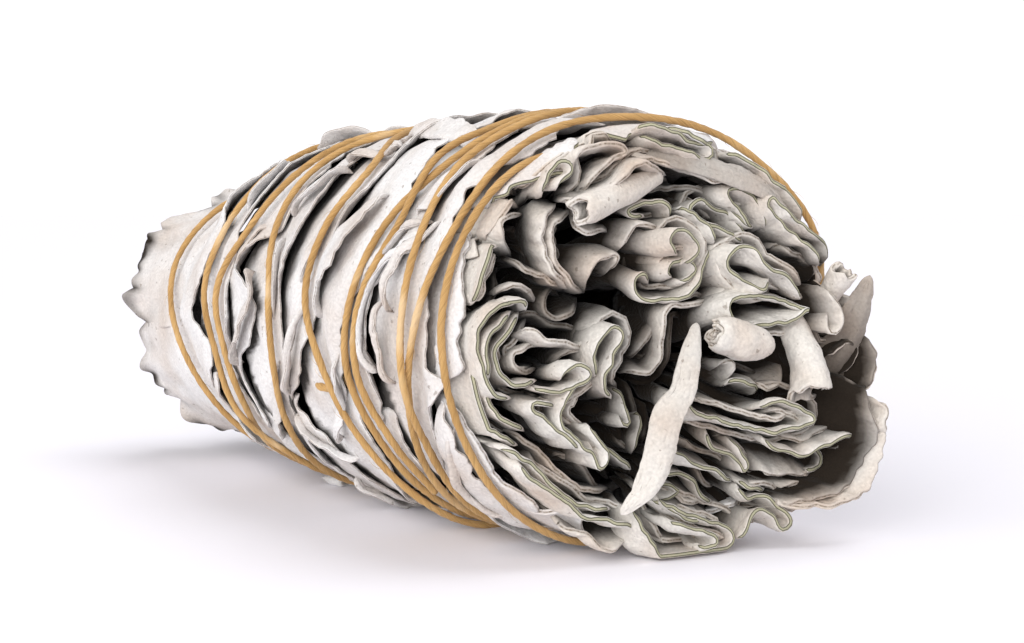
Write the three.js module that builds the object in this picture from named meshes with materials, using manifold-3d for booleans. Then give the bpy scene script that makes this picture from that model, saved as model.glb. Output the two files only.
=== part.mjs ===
// A sage smudge stick: a thick bunch of dried white sage leaves, cut square at the near end, with its own
// ruffled tips at the far end, wrapped in whole leaves and bound with one thin string.
// Millimetres, +Z up, +X along the stick to the cut end. The bunch lies on its side on z = 0.
import * as THREE from 'three';
import * as BufferGeometryUtils from 'three/addons/utils/BufferGeometryUtils.js';
import Module from 'manifold-3d';

const wasm = await Module();
wasm.setup();

// Driving dimensions
const LEAF = 0.6;                 // thickness of one dried leaf
const STRING = 1.0;               // diameter of the string
const GAP = 0.3;                  // clear space kept between two pieces that touch
const SHINGLE = 2.8;              // how far a wrapping leaf dips under the one before it
const LEAF_WIDTH = 12.5;          // width of a wrapping leaf, along the stick
const UNDERSIDE = 1.65;           // height of the lowest wrapping leaves, which the string holds off the table
const FACE_X = 48;                // place of the cut end on the stick's axis
const FACE_SLOPE = 0.25;          // the cut end leans: its +Y side stands further out
const FLARE = 22;                 // radius that the cut end flares out to, past the string
const LIP_LEAN = 0.78;            // a lip that stands out of the cut end leans to -Y
const CENTRE = { x: 6.745, y: -0.255 }; // middle of the whole bunch, which becomes the origin

// The bunch's outline: place along the stick, radius over the string, height of its underside
const OUTLINE = [
  [-46, 11.5, 4.6], [-42, 12.5, 4.2], [-36, 14.6, 3.6], [-28, 15.8, 3.0], [-20, 17.3, 2.4], [-10, 19.6, 1.4],
  [0, 20.6, 0.4], [10, 21.0, 0], [24, 21.4, 0], [38, 21.4, 0], [46, 20.8, 0], [58, 19.8, 0.2],
];

const degrees = THREE.MathUtils.degToRad;
const clamp = THREE.MathUtils.clamp;
const lerp = THREE.MathUtils.lerp;

// A value read off a list of [place, value, ...] rows, straight between them
function along(rows, x, column = 1) {
  const last = rows.length - 1;
  const i = clamp(rows.findIndex((row) => row[0] > x) - 1, 0, last - 1);
  const from = x >= rows[last][0] ? rows[last - 1] : rows[i];
  const to = x >= rows[last][0] ? rows[last] : rows[i + 1];
  return lerp(from[column], to[column], clamp((x - from[0]) / (to[0] - from[0]), 0, 1));
}

const bunchRadius = (x) => along(OUTLINE, x) - 0.85;
const axisHeight = (x) => along(OUTLINE, x) + along(OUTLINE, x, 2);

// A seeded draw, the same on every run
let seed = 20;
function draw(low, high) {
  seed = (seed * 16807) % 2147483647;
  return low + ((high - low) * seed) / 2147483647;
}

// A point on the bunch, from its place along the stick, its angle round the axis and its depth under
// the outside. Near the table it is flattened, as the bunch's own weight does.
function onBunch(x, angle, depth, lowest) {
  const radius = bunchRadius(x) - depth;
  const y = radius * Math.cos(degrees(angle));
  const z = axisHeight(x) + radius * Math.sin(degrees(angle));
  return new THREE.Vector3(x, y, Math.max(z, lowest + depth));
}

// A bent sheet with a thickness: a grid of places, moved half the thickness to each side. Both faces are
// split into triangles alike.
function sheet(place, rows, columns, thickness = LEAF) {
  const middle = [];
  for (let i = 0; i <= rows; i += 1) {
    for (let j = 0; j <= columns; j += 1) middle.push(place(i / rows, j / columns));
  }
  const at = (i, j) => middle[clamp(i, 0, rows) * (columns + 1) + clamp(j, 0, columns)];
  const positions = [];
  for (const side of [0.5, -0.5]) {
    for (let i = 0; i <= rows; i += 1) {
      for (let j = 0; j <= columns; j += 1) {
        const down = at(i + 1, j).clone().sub(at(i - 1, j));
        const across = at(i, j + 1).clone().sub(at(i, j - 1));
        const normal = down.cross(across).normalize();
        const point = at(i, j).clone().addScaledVector(normal, side * thickness);
        positions.push(point.x, point.y, point.z);
      }
    }
  }
  const under = (rows + 1) * (columns + 1);
  const index = [];
  const quad = (a, b, c, d) => index.push(a, b, c, a, c, d);
  for (let i = 0; i < rows; i += 1) {
    for (let j = 0; j < columns; j += 1) {
      const a = i * (columns + 1) + j;
      const b = a + columns + 1;
      quad(a, b, b + 1, a + 1);
      index.push(under + a, under + b + 1, under + b, under + a, under + a + 1, under + b + 1);
    }
  }
  const rim = [];
  for (let j = 0; j < columns; j += 1) rim.push(j);
  for (let i = 0; i < rows; i += 1) rim.push(i * (columns + 1) + columns);
  for (let j = columns; j > 0; j -= 1) rim.push(rows * (columns + 1) + j);
  for (let i = rows; i > 0; i -= 1) rim.push(i * (columns + 1));
  rim.forEach((a, k) => {
    const b = rim[(k + 1) % rim.length];
    quad(a, b, under + b, under + a);
  });
  const geometry = new THREE.BufferGeometry();
  geometry.setAttribute('position', new THREE.Float32BufferAttribute(positions, 3));
  geometry.setIndex(index);
  return facedOut(geometry);
}

// Turns a closed shape's faces outwards
function facedOut(geometry) {
  const p = geometry.getAttribute('position');
  const index = geometry.getIndex();
  const [a, b, c] = [new THREE.Vector3(), new THREE.Vector3(), new THREE.Vector3()];
  let volume = 0;
  for (let i = 0; i < index.count; i += 3) {
    a.fromBufferAttribute(p, index.getX(i));
    b.fromBufferAttribute(p, index.getX(i + 1));
    c.fromBufferAttribute(p, index.getX(i + 2));
    volume += a.dot(b.cross(c));
  }
  if (volume < 0) {
    const turned = Array.from(index.array);
    for (let i = 0; i < turned.length; i += 3) [turned[i + 1], turned[i + 2]] = [turned[i + 2], turned[i + 1]];
    geometry.setIndex(turned);
  }
  return geometry;
}

// Joins closed shapes into one
function fused(geometries) {
  const solids = geometries.map((geometry) => {
    const bare = geometry.clone();
    bare.deleteAttribute('normal');
    bare.deleteAttribute('uv');
    const merged = BufferGeometryUtils.mergeVertices(bare, 1e-4);
    const vertProperties = new Float32Array(merged.getAttribute('position').array);
    const triVerts = new Uint32Array(merged.getIndex().array);
    return new wasm.Manifold(new wasm.Mesh({ numProp: 3, vertProperties, triVerts }));
  });
  let whole = solids[0];
  solids.slice(1).forEach((solid) => {
    whole = whole.add(solid);
  });
  const parts = whole.decompose().sort((one, other) => other.volume() - one.volume());
  const mesh = parts[0].getMesh();
  const geometry = new THREE.BufferGeometry();
  geometry.setAttribute('position', new THREE.Float32BufferAttribute(mesh.vertProperties, 3));
  geometry.setIndex(Array.from(mesh.triVerts));
  return geometry;
}

// The string's route, wound from the cut end to the far end and back: angle round the axis, counted on
// over every turn, and place along the stick
const ROUTE = [
  [112, 42.7], [140, 41.3], [156, 40.6], [180, 40.1], [202, 40.9], [236, 40.7], [270, 41], [310, 43.5], [360, 46],
  [400, 47.5], [430, 46.5], [459, 44.1], [472, 41.4], [497, 40.3], [511, 39.2], [533, 36.9], [549, 35.1],
  [559, 33.4], [581, 31.3], [596, 29.7], [630, 29], [680, 31], [720, 33.6], [770, 35.6], [818, 36], [837, 35.1],
  [851, 34], [863, 33.3], [879, 35.1], [897, 33.9], [905, 34.3], [914, 35.4], [930, 34.2], [956, 32.4], [990, 31.3],
  [1040, 29.5], [1080, 30.6], [1130, 32.6], [1180, 34.3], [1207, 33], [1220, 29.4], [1230, 28.1], [1249, 25.6],
  [1266, 23.5], [1284, 25.2], [1306, 26.3], [1350, 24.8], [1400, 24.5], [1450, 25.5], [1490, 24], [1520, 17],
  [1540, 9.5], [1556, 5.6], [1581, 4.7], [1600, 6.9], [1618, 9.2], [1638, 8.5], [1667, 4.4], [1710, 2],
  [1760, 2.5], [1800, 4], [1860, 5], [1900, 3.4], [1932, 1.7], [1949, 0.3], [1959, -2.3], [1968, -4.9], [1985, -4],
  [1997, -2.4], [2011, -3], [2027, -6.1], [2070, -8.6], [2120, -11.5], [2160, -15], [2210, -19], [2260, -23],
  [2308, -25.8], [2319, -25], [2333, -23], [2345, -20.8], [2358, -17.9], [2374, -15], [2392, -13.4], [2430, -12.4],
  [2480, -11], [2520, -9.4], [2570, -7.8], [2620, -6.4], [2651, -6.2], [2673, -7.4], [2690, -8.6], [2705, -6.8],
  [2725, -4.6], [2745, -2.8], [2790, -1.4], [2840, 3], [2880, 7], [2930, 9.8], [2980, 11.2], [2996, 15],
  [3008, 18.3], [3031, 16.7], [3047, 15.5], [3065, 18.4], [3087, 21.1], [3097, 21.9], [3112, 25.2], [3150, 27],
  [3200, 28], [3240, 28.4], [3290, 30], [3340, 31.8], [3388, 30.7], [3410, 27.2], [3419, 25.9], [3428, 25.2],
  [3445, 27.6], [3457, 28.2], [3474, 28.1],
];
const STRING_STEP = 20;           // degrees between the string's bends
const STRING_SIDES = 6;

// The route as an even list of places, each raised to lie over the turns already wound
function stringPath() {
  const first = ROUTE[0][0];
  const steps = Math.round((ROUTE[ROUTE.length - 1][0] - first) / STRING_STEP);
  const places = [];
  for (let i = 0; i <= steps; i += 1) {
    const turn = first + i * STRING_STEP;
    places.push({ turn, x: along(ROUTE, turn), rise: 0 });
  }
  const clear = STRING * 1.2;
  places.forEach((here) => {
    for (let earlier = here.turn - 360; earlier >= first; earlier -= 360) {
      const [before, after] = [0, 1].map((k) => places[Math.floor((earlier - first) / STRING_STEP) + k]);
      const blend = (earlier - before.turn) / STRING_STEP;
      const aside = Math.abs(lerp(before.x, after.x, blend) - here.x);
      const height = Math.sqrt(Math.max(0, clear ** 2 - (aside * 0.8) ** 2));
      if (aside < 1.5 * clear) here.rise = Math.max(here.rise, lerp(before.rise, after.rise, blend) + height);
    }
  });
  return places.map((place) => {
    const depth = -(GAP + STRING / 2) - place.rise;
    return onBunch(place.x, place.turn, depth, STRING / 2 + GAP - depth);
  });
}

function stringGeometry() {
  const curve = new THREE.CatmullRomCurve3(stringPath(), false, 'centripetal');
  const ring = [];
  for (let k = 0; k < STRING_SIDES; k += 1) {
    const a = (k / STRING_SIDES) * 2 * Math.PI;
    ring.push(new THREE.Vector2((STRING / 2) * Math.cos(a), (STRING / 2) * Math.sin(a)));
  }
  const steps = stringPath().length - 1;
  const tube = new THREE.ExtrudeGeometry(new THREE.Shape(ring), { steps, extrudePath: curve, bevelEnabled: false });
  tube.deleteAttribute('normal');
  tube.deleteAttribute('uv');
  return facedOut(BufferGeometryUtils.mergeVertices(tube, 1e-4));
}

// Wrapping leaves lie across the stick in rows. A row's near margin lies over the next row, and follows
// the slant of the string: forward on top, back underneath.
const ROWS = [-10.5, -2.5, 4.5, 11, 17.5, 24, 30, 36.5];
const LEAVES_PER_ROW = 3;
const TOP_SLANT = [[-30, -3], [0, 0], [15, 3.5], [24.5, 4], [31, 3], [38, 2], [48, 0]];
const SIDE_SLANT = [[18, 0], [48, 5]];

function marginAt(row, angle) {
  const a = degrees(angle);
  return row + along(TOP_SLANT, row) * Math.sin(a) + along(SIDE_SLANT, row) * (1 + Math.cos(a));
}

// How full a leaf is at a place on its length: blunt at the stalk, pointed at the tip
const fullness = (s) => Math.max(0.16, (1 - Math.abs(2 * s - 1) ** 3) ** 0.7);

function wrappingLeaf(row, from, sweep, phase) {
  const place = (s, t) => {
    const angle = from + sweep * s;
    const margin = marginAt(row, angle);
    const wave = 0.7 * Math.sin(phase + 9 * s) * fullness(s);
    const x = margin - 4.5 + (t * LEAF_WIDTH - LEAF_WIDTH + 4.5) * fullness(s) + wave * t;
    const dip = SHINGLE * clamp((margin + 0.8 - x) / LEAF_WIDTH, 0, 1.1) + 0.08 * (1 + Math.sin(phase + 15 * s)) * t;
    return onBunch(x, angle, LEAF / 2 + dip, UNDERSIDE);
  };
  return sheet(place, 7, 2);
}

// The leaves at the far end lie lengthwise. Their margins run out past the bunch in ruffles.
const FAR_LEAVES = 5;
const FAR_FROM = -22.5;           // near margin of the far leaves
const FAR_LENGTH = 19;

function farLeaf(from, sweep, phase) {
  const place = (s, t) => {
    const angle = from + sweep * t;
    const tip = FAR_LENGTH * (0.82 + 0.18 * Math.sin(Math.PI * t) + 0.06 * Math.sin(phase + 7 * t));
    const x = FAR_FROM - tip * s + along(TOP_SLANT, FAR_FROM) * Math.sin(degrees(angle)) * (1 - s);
    const ruffle = 0.9 * s ** 3 * Math.sin(phase + 13 * t);
    return onBunch(x, angle, LEAF / 2 + GAP - 0.9 * s ** 3 - ruffle, UNDERSIDE);
  };
  return sheet(place, 4, 7);
}

// Inner tips at the far end, shorter and more ruffled, fused to the bunch
function innerTip(angle, radius, reach, width, phase) {
  const place = (s, t) => {
    const side = width * (t - 0.5) * (0.7 + 0.3 * Math.sin(Math.PI * s));
    const wave = 1.1 * s * s * Math.sin(phase + 9 * t);
    const a = degrees(angle);
    const out = radius + wave + 1.2 * s * s;
    const x = lerp(-26, -38 - reach, s) + 0.8 * Math.sin(phase + 5 * t) * s;
    const y = out * Math.cos(a) - side * Math.sin(a);
    const z = axisHeight(x) + out * Math.sin(a) + side * Math.cos(a);
    return new THREE.Vector3(x, y, z);
  };
  return sheet(place, 3, 6);
}

// The packed middle of the bunch: ridged, because it is leaf on leaf, and hollow-faced at the cut end
const CORE_FROM = -35;
const CORE_TO = 39;
function coreGeometry() {
  const stations = 6;
  const sides = 24;
  const positions = [];
  for (let i = 0; i <= stations; i += 1) {
    const x = lerp(CORE_FROM, CORE_TO, i / stations);
    for (let k = 0; k < sides; k += 1) {
      const angle = (k / sides) * 360;
      const ridge = k % 2 ? 0 : 0.5;
      const p = onBunch(x, angle, SHINGLE + LEAF + 2 * GAP + 0.4 + ridge, UNDERSIDE);
      positions.push(x + 1.2 * Math.sin(k * 2.4) * (i === stations), p.y, p.z);
    }
  }
  const ends = positions.length / 3;
  positions.push(CORE_FROM + 1, 0, axisHeight(CORE_FROM), CORE_TO - 5, 0, axisHeight(CORE_TO));
  const index = [];
  for (let k = 0; k < sides; k += 1) {
    const next = (k + 1) % sides;
    for (let i = 0; i < stations; i += 1) {
      const [a, b] = [i * sides + k, i * sides + next];
      index.push(a, b, b + sides, a, b + sides, a + sides);
    }
    index.push(ends, next, k, ends + 1, stations * sides + k, stations * sides + next);
  }
  const geometry = new THREE.BufferGeometry();
  geometry.setAttribute('position', new THREE.Float32BufferAttribute(positions, 3));
  geometry.setIndex(index);
  return facedOut(geometry);
}

// Folded leaves of the cut end. Each is the line of its cut edge across the face, as [y, z] points. lip is
// how far the edge stands out of the face, back is how far the leaf runs into the bunch and how far its
// inner end has moved in y and z, and grow is how much wider its inner end is. A point no higher than half
// a leaf lies on the table.
const FOLDS = [
  // Round the top
  { lip: -1, back: [11, -1, 0], grow: 1, edge: [[-16.2, 36], [-14.4, 37.7], [-12.2, 37.4], [-10.6, 39.8],
    [-8.2, 40.5], [-5.4, 40.8]] },
  { lip: 0, back: [11, 0, 0], grow: 1, edge: [[-4.2, 40.2], [-1.6, 40.2], [1.4, 39.2], [3.9, 38.2],
    [1.6, 37.9], [-1.2, 39], [-3.8, 39.2]] },
  { lip: -1, back: [11, -1, 0], grow: 1, edge: [[-13.4, 36.6], [-11.4, 37], [-10, 39], [-7.8, 39.7], [-4.8, 39.5]] },
  { lip: 1, back: [11, -2, -0.5], grow: 1.1, edge: [[-12.8, 33.9], [-12.1, 36.1], [-10.6, 37], [-10.1, 36],
    [-11.8, 34.6]] },
  { lip: 0, back: [11, -1.5, 0], grow: 1.1, edge: [[-10.6, 35.6], [-9.6, 37.8], [-6.8, 38.5], [-4.8, 38.1],
    [-7.4, 36.3], [-9.8, 34.6]] },
  { lip: 1, back: [12, 1, 1], grow: 1, edge: [[-11.3, 33.4], [-7.6, 34.5], [-5.2, 35.6], [-3.1, 37.3],
    [-0.3, 36.1]] },
  { lip: -1, back: [11, 1, 2], grow: 1.05, edge: [[-2.6, 36.9], [1.6, 35.6], [6, 35.1], [10, 34.3], [12.6, 33.1]] },
  { lip: 0, back: [11, 1, 1.5], grow: 1, edge: [[5.4, 38.6], [9, 36.9], [12, 34.9], [13.4, 33], [14.6, 31.6]] },
  // Rolled and folded leaves, upper left
  { lip: 1.5, back: [5, 8, 2.8], grow: 0.9, edge: [[-8.7, 33.6], [-10.2, 33.6], [-10, 32.2], [-8.4, 31.6],
    [-7.6, 32.8]] },
  { lip: 0, back: [8, 6, 2.5], grow: 1, edge: [[-10.3, 32.2], [-9.2, 30.9], [-6.4, 30.6]] },
  { lip: 0, back: [12, -2, 1], grow: 1.1, edge: [[-11.5, 33.3], [-13, 31.1], [-12.6, 28.5], [-10.2, 25.5]] },
  { lip: -0.5, back: [12, -1, 1], grow: 1, edge: [[-10, 32.9], [-12, 31.4], [-11.8, 29], [-8.8, 25]] },
  { lip: -1, back: [11, -2, 0.5], grow: 1.6, edge: [[-8.4, 25], [-8.3, 27], [-6.4, 28.9], [-5.3, 28.4],
    [-6.8, 26.2]] },
  { lip: -0.5, back: [11, -1.5, 0], grow: 1, edge: [[-15.4, 32.7], [-17.4, 33.4], [-18.1, 32], [-18.2, 29.6]] },
  { lip: -0.5, back: [11, -1.5, 0], grow: 1, edge: [[-14.8, 32.2], [-16.6, 31.9], [-16.8, 30], [-16, 28.4]] },
  { lip: 0.5, back: [11, -2, 1], grow: 1.1, edge: [[-17.1, 29.4], [-18.2, 29], [-19.8, 27.1], [-21.4, 24.6]] },
  { lip: 0, back: [10, -1, 0.5], grow: 1, edge: [[-17.9, 28], [-18.5, 25.8], [-19.4, 24.9], [-20.4, 25.4]] },
  { lip: -1.5, back: [10, -2, 1], grow: 1.6, edge: [[-11.4, 25.8], [-12.5, 24.4], [-11.2, 22.8], [-9.3, 24.4]] },
  { lip: -1, back: [11, -1, 1], grow: 1, edge: [[-17, 28.5], [-13.6, 27.3], [-10.4, 25.2]] },
  // Nested folds, left
  { lip: 1, back: [12, -1, 0], grow: 1.1, edge: [[-15.2, 24.6], [-17.4, 23.9], [-18.9, 22], [-18.6, 18.8],
    [-17.2, 16.5], [-15.8, 16]] },
  { lip: 0.5, back: [12, -1, 0], grow: 1, edge: [[-14.9, 23.4], [-17, 20.8], [-16.8, 18.4], [-14.9, 17],
    [-13.4, 17.4]] },
  { lip: 0, back: [12, -2, 0.5], grow: 1.2, edge: [[-15.8, 20.8], [-14.2, 21.6], [-11.4, 20.9], [-8.2, 19.8]] },
  { lip: 1, back: [12, -2, 1], grow: 1, edge: [[-11.2, 17.2], [-10.2, 18.5], [-8.4, 18], [-9.8, 16.6],
    [-12.2, 16.6], [-14.2, 17]] },
  { lip: 0.5, back: [13, -1, 0], grow: 1.1, edge: [[-7.7, 17.2], [-7.5, 20.4], [-5.9, 22], [-5.1, 21.2],
    [-6.2, 18.6], [-6, 15.2]] },
  { lip: -1, back: [12, 1, 1], grow: 1, edge: [[-5.8, 18.6], [-5.4, 17.2], [-4.2, 18.1], [-2.2, 17.4],
    [-0.6, 19.9], [1, 22.6]] },
  { lip: 0, back: [12, -1, 0], grow: 1.1, edge: [[-20.5, 18.6], [-20.3, 16], [-18.7, 13.5], [-15.2, 11.4]] },
  { lip: -0.5, back: [11, -1, 0], grow: 1.1, edge: [[-18.4, 17.4], [-17.6, 15], [-14.8, 12.6]] },
  { lip: 1, back: [11, -2, -0.5], grow: 1.1, edge: [[-11.4, 15.1], [-12.8, 15.7], [-14, 15.2], [-11.6, 13.2],
    [-9.2, 10.9]] },
  { lip: 1, back: [12, -1, 0], grow: 1.1, edge: [[-8.6, 17.3], [-11.2, 15], [-10.4, 12.6], [-8.4, 11],
    [-7.2, 9.1], [-6.6, 10], [-8.8, 13.1]] },
  // The narrow leaf that hangs down over the face
  { lip: 2.5, back: [6, 0, 0], grow: 1, edge: [[2.3, 22.4], [2.4, 18.6], [0.4, 13.4], [-0.8, 8.8], [-5.4, 5]] },
  // Lower left
  { lip: 0.5, back: [13, -1, 0], grow: 1.05, edge: [[-17.4, 11.4], [-15, 10.9], [-12.2, 8.3], [-9, 6], [-6, 5.1]] },
  { lip: 1, back: [14, -1, 0.5], grow: 1.1, edge: [[-15.2, 10.2], [-12.4, 7.6], [-9, 5.2], [-3.6, 3.2]] },
  { lip: 0, back: [8, -2, 0], grow: 1, edge: [[-12, 4.2], [-8, 2.4], [-3.8, 2.4]] },
  // Underneath, down to the table
  { lip: 1, back: [4, 0, 0], grow: 1, edge: [[-4.4, 5.2], [-2.2, 2.2], [-1.4, 0.3], [0.4, 0.3], [2.8, 0.3],
    [5.2, 0.3], [6.5, 1.4], [5, 2.9], [0.6, 4.8]] },
  { lip: 0, back: [12, -1, 1], grow: 1, edge: [[-1, 10.4], [3, 8.5], [6.8, 6.3]] },
  { lip: -0.5, back: [11, -1, 1], grow: 1, edge: [[-4.6, 5.6], [-2, 8.1], [1.4, 7.5], [4.8, 4.6]] },
  { lip: 0, back: [12, 0, 1], grow: 1, edge: [[3.9, 12], [4.8, 10.3], [7.8, 7.4], [8.5, 8.4], [5.8, 10.8]] },
  { lip: 0.5, back: [10, 1, 1.5], grow: 1, edge: [[7, 6.4], [8.6, 4.9], [10.4, 4.8], [13, 2.6], [10.6, 3.2],
    [8.6, 3.4], [7, 0.9]] },
  // Middle and right
  { lip: 0, back: [14, -1, 0], grow: 1.2, edge: [[-0.2, 28.2], [-0.5, 30.2], [1.4, 30.9], [2.5, 29.3],
    [1.9, 27.4], [1, 25.9], [-0.2, 27]] },
  { lip: -1, back: [12, -1, 0], grow: 1, edge: [[-6, 28.4], [-4.4, 30.8], [-1.9, 31.5], [-0.7, 30]] },
  { lip: 0, back: [14, -1, 0], grow: 1, edge: [[-2.2, 25.8], [-3.2, 26.9], [-3.7, 25.2], [-1.4, 24.3],
    [2.2, 25.5], [3.3, 28], [4.4, 29.4]] },
  { lip: -0.5, back: [12, 0, 1], grow: 1, edge: [[-0.2, 31.8], [-0.6, 33.4], [-3, 33.4], [-4.5, 32.6],
    [-2.6, 32.1]] },
  { lip: -2, back: [10, 0, 1], grow: 1, edge: [[-3.8, 33.9], [0, 35.1], [3.6, 34.4], [5.2, 32.6]] },
  { lip: 0, back: [12, 0, 1], grow: 1, edge: [[0, 32.6], [2, 32.8], [4.6, 30.2]] },
  { lip: -0.5, back: [12, 0, 1], grow: 1, edge: [[7.8, 29.6], [4, 31.4], [2, 32.8], [3.4, 33.4], [8.4, 30.2]] },
  { lip: 0, back: [12, 0, 1], grow: 1, edge: [[10, 30.8], [8.8, 33.5], [6.6, 35.1], [5.8, 34], [9, 31.2]] },
  { lip: 0.5, back: [12, -0.5, 1], grow: 1, edge: [[16, 27.2], [14.4, 29.3], [9.8, 33], [10.4, 34], [14, 31],
    [16.3, 29], [16.8, 27.4]] },
  { lip: 1.5, back: [14, -1, 0.5], grow: 1.05, edge: [[10.4, 26.3], [9.6, 25.1], [6.6, 26.6], [6, 28.2],
    [8, 29], [9.8, 27.5], [12.4, 26.2], [13.9, 24]] },
  { lip: 1, back: [14, -1, -0.5], grow: 1.1, edge: [[7, 22.3], [5.8, 23.6], [7.4, 24.9], [13.7, 23.7],
    [14.7, 23], [9.8, 22]] },
  { lip: 1, back: [14, -1, 0.5], grow: 1, edge: [[10.1, 23.6], [10.9, 21.4], [9.8, 19]] },
  { lip: -1.5, back: [12, -1, 0], grow: 1, edge: [[9.6, 28.6], [12.4, 29.2], [15.4, 26.9], [14, 25.5]] },
  { lip: 0.5, back: [14, -1, 0.5], grow: 1, edge: [[13.8, 22.2], [15.2, 18.4], [15.5, 15.4], [16.5, 14.2]] },
  { lip: 2, back: [14, -0.5, 1], grow: 1, edge: [[1.5, 15.4], [4, 13.2], [11, 11.6], [15.3, 12.5],
    [12.4, 14.3], [9, 13.4]] },
  { lip: 1, back: [14, 0, 2.5], grow: 1, edge: [[9.6, 11], [13, 9.4], [16.4, 9.9], [20.2, 10.9]] },
  { lip: 0, back: [13, -0.5, 0], grow: 1, edge: [[14.4, 9.5], [16.6, 8.9], [16.4, 7.1], [14.4, 6.8]] },
  { lip: 1, back: [13, -2, -0.5], grow: 1, edge: [[19.9, 21.6], [20.4, 24.8], [21.6, 26.2], [21.2, 22.2]] },
  { lip: 0, back: [13, -1, 0], grow: 1, edge: [[15.2, 23.2], [16.8, 24.6], [17.9, 23.4], [16.9, 21.9]] },
  { lip: 1, back: [13, -1, 0], grow: 1, edge: [[19.6, 20.4], [20.8, 18.2], [17, 14.4]] },
  { lip: 1.5, back: [13, -2, 0], grow: 0.95, edge: [[20.8, 21], [22.5, 18.6], [19.4, 15.4]] },
  { lip: 2, back: [14, -2, 1], grow: 0.95, edge: [[16, 5.4], [20, 6.8], [21.8, 9.6], [20.4, 15]] },
  { lip: 3, back: [15, -3, 2], grow: 0.9, edge: [[11, 5.4], [15.6, 4], [21.4, 5.6], [24.1, 9], [22.5, 11.6],
    [23.4, 13], [21.4, 14.4]] },
];

// Place along the stick of the string's first turn, the one nearest the cut end
const firstTurnAt = (angle) => along(ROUTE, ((angle - ROUTE[0][0] + 360) % 360) + ROUTE[0][0]);

// How deep under the outside the folded leaves stay: below the last row of wrapping leaves, below the
// string's first turn, and in front of that they may flare out
function roomUnder(x, angle) {
  const margin = marginAt(ROWS[ROWS.length - 1], angle);
  const covered = 1.5 * LEAF + 2 * GAP + 0.3;
  if (x < margin + 2) return covered + SHINGLE * clamp((margin + 1 - x) / LEAF_WIDTH, 0, 1.1);
  return LEAF / 2 + GAP + 0.1 - clamp(0.28 * (x - firstTurnAt(angle) - 1.8), 0, 6);
}

function foldedLeaf({ lip, back, grow, edge }, index) {
  const centre = [0, 1].map((k) => edge.reduce((sum, point) => sum + point[k], 0) / edge.length);
  const place = (s, t) => {
    const [y0, z0] = edge[Math.round(s * (edge.length - 1))];
    const swell = lerp(1, grow, t);
    const x = FACE_X + FACE_SLOPE * y0 + lip - back[0] * t;
    const y = centre[0] + (y0 - centre[0]) * swell + back[1] * t - LIP_LEAN * lip;
    const z = centre[1] + (z0 - centre[1]) * swell + back[2] * t;
    if (z0 <= LEAF / 2) return new THREE.Vector3(x, y, LEAF / 2);
    const angle = (THREE.MathUtils.radToDeg(Math.atan2(z - axisHeight(x), y)) + 360) % 360;
    const radius = Math.hypot(y, z - axisHeight(x));
    const most = bunchRadius(x) - roomUnder(x, angle) - 0.25 * (1 + (index % 3));
    const inward = Math.min(lerp(1, most / FLARE, t), most / radius);
    const lowest = x < firstTurnAt(angle) + 2 ? UNDERSIDE + LEAF / 2 : LEAF / 2;
    return new THREE.Vector3(x, y * inward, Math.max(lowest, lerp(axisHeight(x), z, inward)));
  };
  return sheet(place, edge.length - 1, 1);
}

// Rim leaves that close the cut end's edge where the folds above leave it open
const RIM_LEAVES = [[20, 66], [338, 26], [285, 333], [232, 262], [196, 238], [150, 192], [112, 142], [72, 108]];
function rimLeaf([from, to], phase) {
  const sweep = (to - from + 360) % 360;
  const place = (s, t) => {
    const angle = from + sweep * s;
    const rim = FACE_X + FACE_SLOPE * 20 * Math.cos(degrees(angle)) - 0.5 + 0.6 * Math.sin(phase + 8 * s);
    const x = lerp(34.2, rim, t);
    const under = roomUnder(x, angle % 360);
    const depth = x > 46 ? 0.8 + 0.5 * Math.sin(phase + 11 * s) : under;
    return onBunch(x, angle, depth, UNDERSIDE - 0.1);
  };
  return sheet(place, 4, 2);
}

// A folded leaf tip pressed flat under the bunch, which the far half rests on
const HEEL = { x: -5.1, length: 3.6, width: 10, height: 1.0, flat: 0.75 };
function heelGeometry() {
  const place = (s, t) => {
    const y = HEEL.width * (s - 0.5);
    const curl = 2 * Math.max(0, Math.abs(2 * s - 1) - HEEL.flat) ** 2;
    return new THREE.Vector3(HEEL.x + HEEL.length * (t - 0.5), y, HEEL.height / 2 + curl);
  };
  return sheet(place, 8, 2, HEEL.height);
}

const sage = new THREE.MeshStandardMaterial({ color: 0xc6c6c2, roughness: 0.95, metalness: 0 });
const sageShade = new THREE.MeshStandardMaterial({ color: 0xb4b1ab, roughness: 0.95, metalness: 0 });
const cotton = new THREE.MeshStandardMaterial({ color: 0xc49653, roughness: 0.9, metalness: 0 });

const stick = new THREE.Group();
stick.position.set(-CENTRE.x, -CENTRE.y, 0);
function add(name, geometry, material) {
  const mesh = new THREE.Mesh(geometry, material);
  mesh.name = name;
  stick.add(mesh);
}

const rolled = [coreGeometry(), ...FOLDS.map(foldedLeaf), ...RIM_LEAVES.map((span, i) => rimLeaf(span, i * 1.7))];
for (let i = 0; i < 7; i += 1) {
  rolled.push(innerTip(i * 51 + draw(-8, 8), draw(7.6, 8.6), draw(2, 5), 10, draw(0, 6)));
}
for (let i = 0; i < 3; i += 1) rolled.push(innerTip(i * 120 + 20, 4.5, draw(0, 3), 9, draw(0, 6)));
add('rolled_leaves', fused(rolled), sageShade);

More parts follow.
